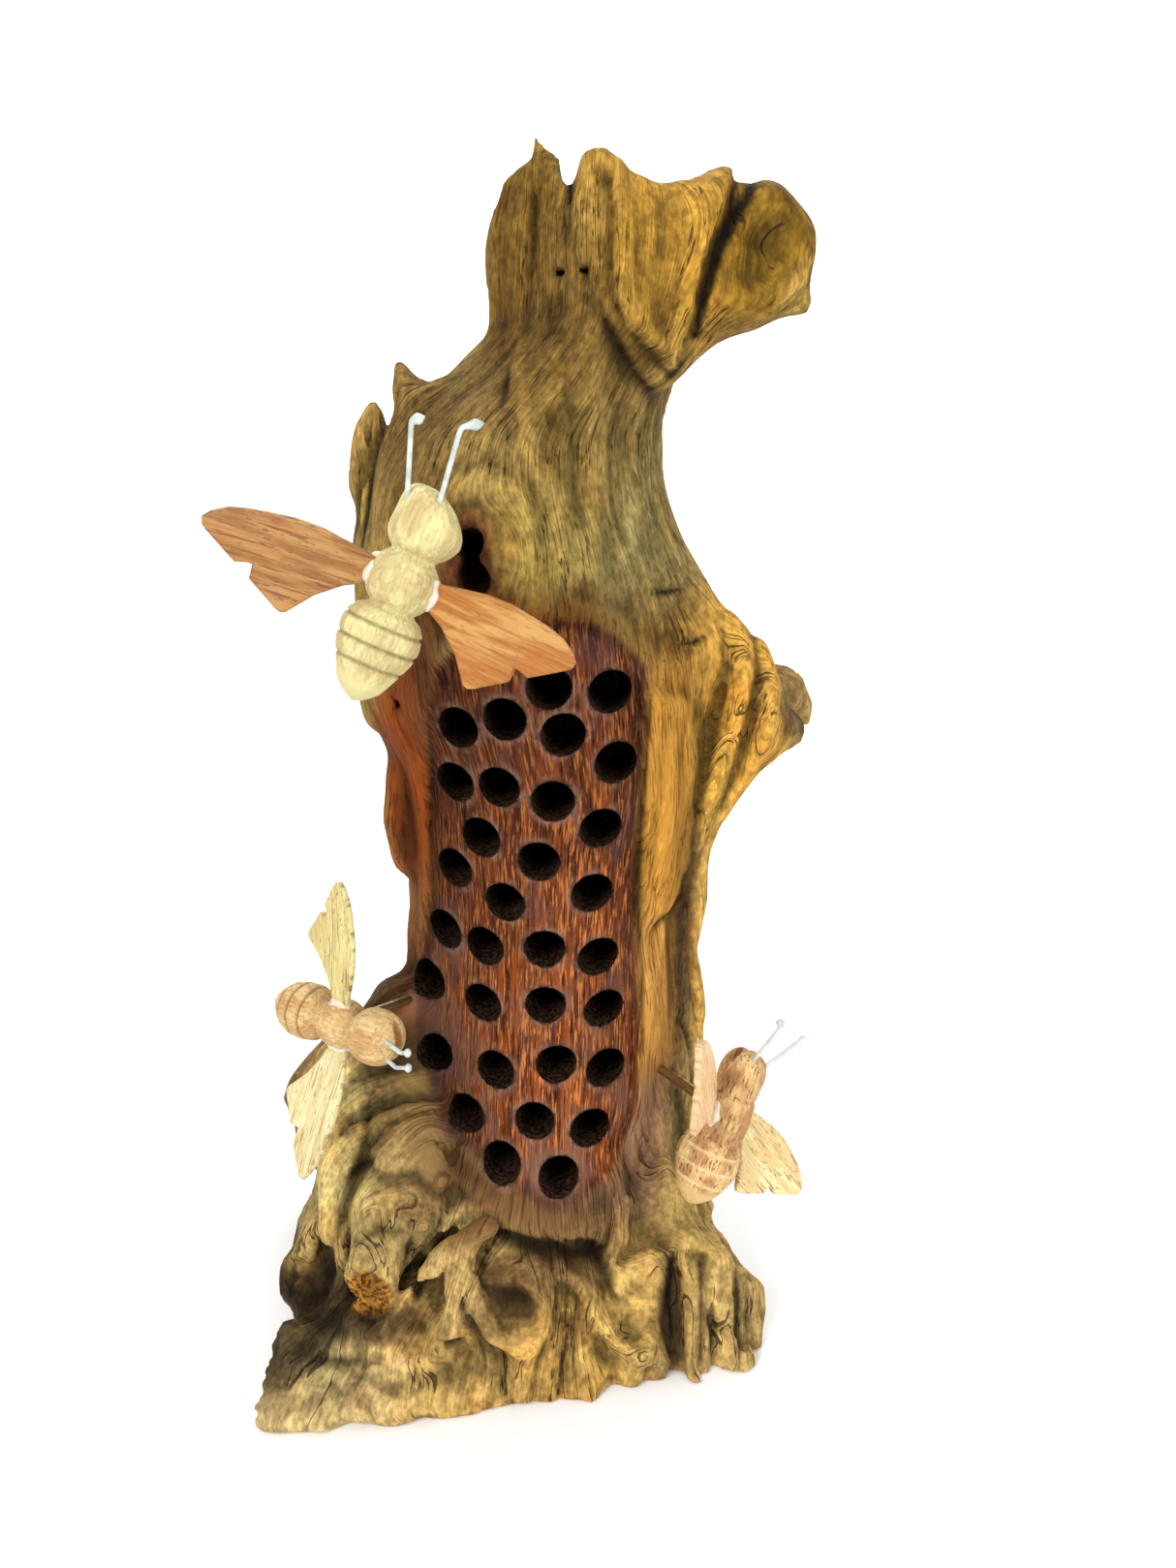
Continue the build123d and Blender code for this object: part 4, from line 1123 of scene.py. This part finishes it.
def make_wing(bee_name, bee, bee_matrix, side_name):
    """A sawn wing with knife-cut flutes, a rounded edge and the notch between its lobes."""
    side = SIDES[side_name]
    sweep, rise, pitch = (math.radians(angle) for angle in bee["wings"][side_name])
    span = Vector((math.sin(sweep), side * math.cos(sweep) * math.cos(rise), math.cos(sweep) * math.sin(rise)))
    lead = Vector((math.cos(pitch), 0, math.sin(pitch)))
    normal = span.cross(lead).normalized()
    chord = normal.cross(span).normalized()
    root = Vector((0, side * (bee["thorax"] - 0.6), WING_RISE))
    spans = (np.linspace(WING_ROOT, WING_REACH, 84), np.linspace(*NOTCH, 7), np.linspace(31, WING_REACH, 8))
    share = (1 - np.cos(np.linspace(0, math.pi, 30))) / 2
    outs, shares = np.meshgrid(np.unique(np.concatenate(spans)), share, indexing="ij")
    high = np.interp(outs, *np.array(WING_LEADING, float).T)
    low = np.interp(outs, *np.array(WING_TRAILING, float).T)
    across = low + (high - low) * shares
    edge = np.minimum(np.minimum(across - low, high - across), WING_REACH - outs)
    half = WING_THICKNESS / 2 * np.sqrt(smoothstep(-0.35, 0.7, edge))
    flat = np.stack([outs, across, 0 * outs], axis=-1)
    fan = np.stack([outs, across / (1 + np.maximum(outs, 0) / 22), 0 * outs], axis=-1)
    seed = bee["seed"] * 7 + side
    flutes = 0.24 * smoothstep(0.05, 0.45, lattice_noise(fan, (26, 1.1, 1), seed)) * smoothstep(0, 1.2, edge)
    warp = 0.5 * lattice_noise(flat, (16, 9, 1), seed + 50)
    vertices = []
    for face in (1, -1):
        depth = face * (half - flutes) + warp
        places = zip(outs.flat, across.flat, depth.flat)
        vertices += [root + span * out + chord * forward + normal * up for out, forward, up in places]
    grid = np.arange(outs.size).reshape(outs.shape)
    quads = np.stack([grid[:-1, :-1], grid[:-1, 1:], grid[1:, 1:], grid[1:, :-1]], axis=-1).reshape(-1, 4)
    faces = quads.tolist() + (quads[:, ::-1] + grid.size).tolist()
    border = np.concatenate([grid[0], grid[1:, -1], grid[-1, -2::-1], grid[-2:0:-1, 0]]).tolist()
    for a, b in zip(border, border[1:] + border[:1]):
        faces.append((a, a + grid.size, b + grid.size, b))
    wing = new_object(f"{bee_name}_wing_{side_name}_wood", vertices, faces)
    wing.data.set_sharp_from_angle(angle=math.radians(60))
    local = np.stack([outs, across, half], axis=-1).reshape(-1, 3) + 30 * seed
    border_wear = smoothstep(1.6, 0.2, high - across).ravel()
    store(wing.data, local=np.tile(local, (2, 1)), edge=np.tile(border_wear, 2))
    return place_bee_part(wing, bee_matrix, bee_name, bee["wing_slot"], f"{bee_name}_wing_{side_name}")


def tube(name, path, radii, sides=14):
    """A round tube through path, with one radius per point and closed ends."""
    vertices = []
    across = (path[1] - path[0]).orthogonal().normalized()
    for i, (point, radius) in enumerate(zip(path, radii)):
        along = (path[min(i + 1, len(path) - 1)] - path[max(i - 1, 0)]).normalized()
        across = (across - along * across.dot(along)).normalized()
        vertices += ring_points(point, across, along.cross(across), radius, sides)
    return new_object(name, vertices, ring_faces(len(path), sides))


def make_antenna(bee_name, bee, bee_matrix, side_name):
    """A nylon stalk, bent over near its end and melted to a blob."""
    foot, straight, reach, hook = bee["antennae"][side_name]
    foot, straight, hook = Vector(foot), Vector(straight).normalized(), Vector(hook)
    knee = reach / (reach + hook.length)
    path, radii = [], []
    for t in np.linspace(0, 1, 56).tolist():
        past = max(0.0, t - knee) / (1 - knee)
        ease = float(smoothstep(knee - 0.10, knee + 0.06, t))
        path.append(foot + straight * (reach * min(1.0, t / knee) * 0.97 + 0.03 * reach * ease) + hook * past)
        end = math.sqrt(max(0.02, min(1, (1 - t) * 17)))
        blob = float(gauss(t - BLOB_PLACE, BLOB_LENGTH))
        radii.append((STALK_RADIUS + BLOB_SWELL * blob) * end)
    for _ in range(2):
        path = [path[0], *((a + b * 2 + c) / 4 for a, b, c in zip(path, path[1:], path[2:])), path[-1]]
    stalk = tube(f"{bee_name}_antenna_{side_name}_nylon", path, radii)
    return place_bee_part(stalk, bee_matrix, bee_name, "nylon", f"{bee_name}_antenna_{side_name}")


def make_glue(bee_name, bee, bee_matrix):
    """Slumped beads of hot glue around both wing roots."""
    rings, sides = 23, 30
    around = 2 * math.pi * np.arange(sides) / sides
    lift, angle = np.meshgrid(np.linspace(0, math.pi, rings), around, indexing="ij")
    arm = np.stack([np.sin(lift) * np.cos(angle), np.cos(lift), np.sin(lift) * np.sin(angle)], axis=-1)
    vertices, faces = [], []
    for n, side in enumerate(SIDES.values()):
        lump = 1 + 0.16 * lattice_noise(arm * 5 + 9 * bee["seed"] + side, (2.4, 2.4, 2.4), 21).astype(float)
        vertices.append(arm * lump[..., None] * GLUE_RADII + (0, side * (bee["thorax"] - 1.1), WING_RISE))
        faces += ring_faces(rings, sides, n * rings * sides, capped=False)
    glue = new_object(bee_name + "_glue", vertices, faces)
    return place_bee_part(glue, bee_matrix, bee_name, "hot_glue", bee_name + "_wing_glue")


# ---- stage --------------------------------------------------------------------------------------
FLOOR_FRONT, FLOOR_BEND, FLOOR_SIDE = -1600, 900, 2400
BEND_RADIUS = 500
SUBJECT = (0, 0, 0.14)
# Name, place, target, size, power and colour.
LIGHTS = (
    ("key", (-0.50, -0.80, 0.75), SUBJECT, 0.45, 8.5, (1.0, 0.98, 0.95)),
    ("fill", (0.70, -0.75, 0.30), SUBJECT, 0.8, 6.0, (0.97, 0.98, 1.0)),
    ("top", (0.1, 0.35, 1.0), SUBJECT, 0.7, 4, (1, 1, 1)),
    ("backdrop", (0, 0.55, 0.9), (0, 1.4, 0.55), 1.2, 14, (1, 1, 1)),
)


def make_stage():
    """A pale floor that sweeps up behind the object."""
    angles = np.linspace(0.1, math.pi / 2, 12)
    bend = [(FLOOR_BEND + BEND_RADIUS * math.sin(a), BEND_RADIUS - BEND_RADIUS * math.cos(a)) for a in angles]
    profile = [(FLOOR_FRONT, 0), (FLOOR_BEND, 0), *bend, (FLOOR_BEND + BEND_RADIUS, FLOOR_SIDE)]
    vertices = [(x, y, z) for y, z in profile for x in (-FLOOR_SIDE, FLOOR_SIDE)]
    faces = [(i, i + 1, i + 3, i + 2) for i in range(0, 2 * len(profile) - 2, 2)]
    floor = new_object("floor", vertices, faces)
    floor.data.materials.append(Shader("stage_paper").finish(Base_Color=(0.90, 0.90, 0.895), Roughness=0.9))


def make_lights():
    """Soft lamps around the object, and an even, cool sky."""
    for name, place, target, size, power, colour in LIGHTS:
        light = bpy.data.lights.new(name, "AREA")
        light.shape = "DISK"
        light.size, light.energy, light.color = size, power, colour
        lamp = bpy.data.objects.new(name, light)
        lamp.location = place
        lamp.rotation_euler = (Vector(target) - Vector(place)).to_track_quat("-Z", "Y").to_euler()
        bpy.context.scene.collection.objects.link(lamp)
    world = bpy.data.worlds.new("studio")
    world.use_nodes = True
    sky = world.node_tree.nodes["Background"].inputs
    sky["Color"].default_value = (0.95, 0.97, 1.0, 1)
    sky["Strength"].default_value = 0.72
    bpy.context.scene.world = world
    bpy.context.scene.view_settings.view_transform = "Standard"


def make_camera():
    """A close, slightly raised viewpoint."""
    camera = bpy.data.cameras.new("camera")
    camera.sensor_width = 36
    camera.lens = 27.1
    camera.clip_start = 0.01
    view = bpy.data.objects.new("camera", camera)
    view.location = (0.0105, -0.290, 0.228)
    view.rotation_euler = (math.radians(90 - 17), 0, 0)
    bpy.context.scene.collection.objects.link(view)
    bpy.context.scene.camera = view


def main():
    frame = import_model()
    woods = {name: bee_wood_material(name, *shades) for name, shades in BEE_WOODS.items()}
    woods.update(nylon=nylon_material(), hot_glue=glue_material())
    root = make_root()
    root.data.materials.append(root_material())
    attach(root, "root")
    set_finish(root, "root_wood")
    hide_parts("root_trunk")
    steel = steel_material()
    for bee_name, bee in BEES.items():
        bee_matrix = bee_frame(bee_name, frame)
        made = [make_bee_body(bee_name, bee, bee_matrix), make_glue(bee_name, bee, bee_matrix)]
        made += [make_antenna(bee_name, bee, bee_matrix, side_name) for side_name in SIDES]
        for piece in made:
            piece.data.materials.append(woods[piece["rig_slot"]])
        for side_name in SIDES:
            wing = make_wing(bee_name, bee, bee_matrix, side_name)
            shades = WING_WOODS[bee_name][side_name]
            wing.data.materials.append(wing_material(f"{bee_name}_{side_name}_wing", *shades))
        pin = frame["nodes"][bee_name + "_pin"]
        pin.data.materials.clear()
        pin.data.materials.append(steel)
    make_stage()
    make_lights()
    make_camera()


main()
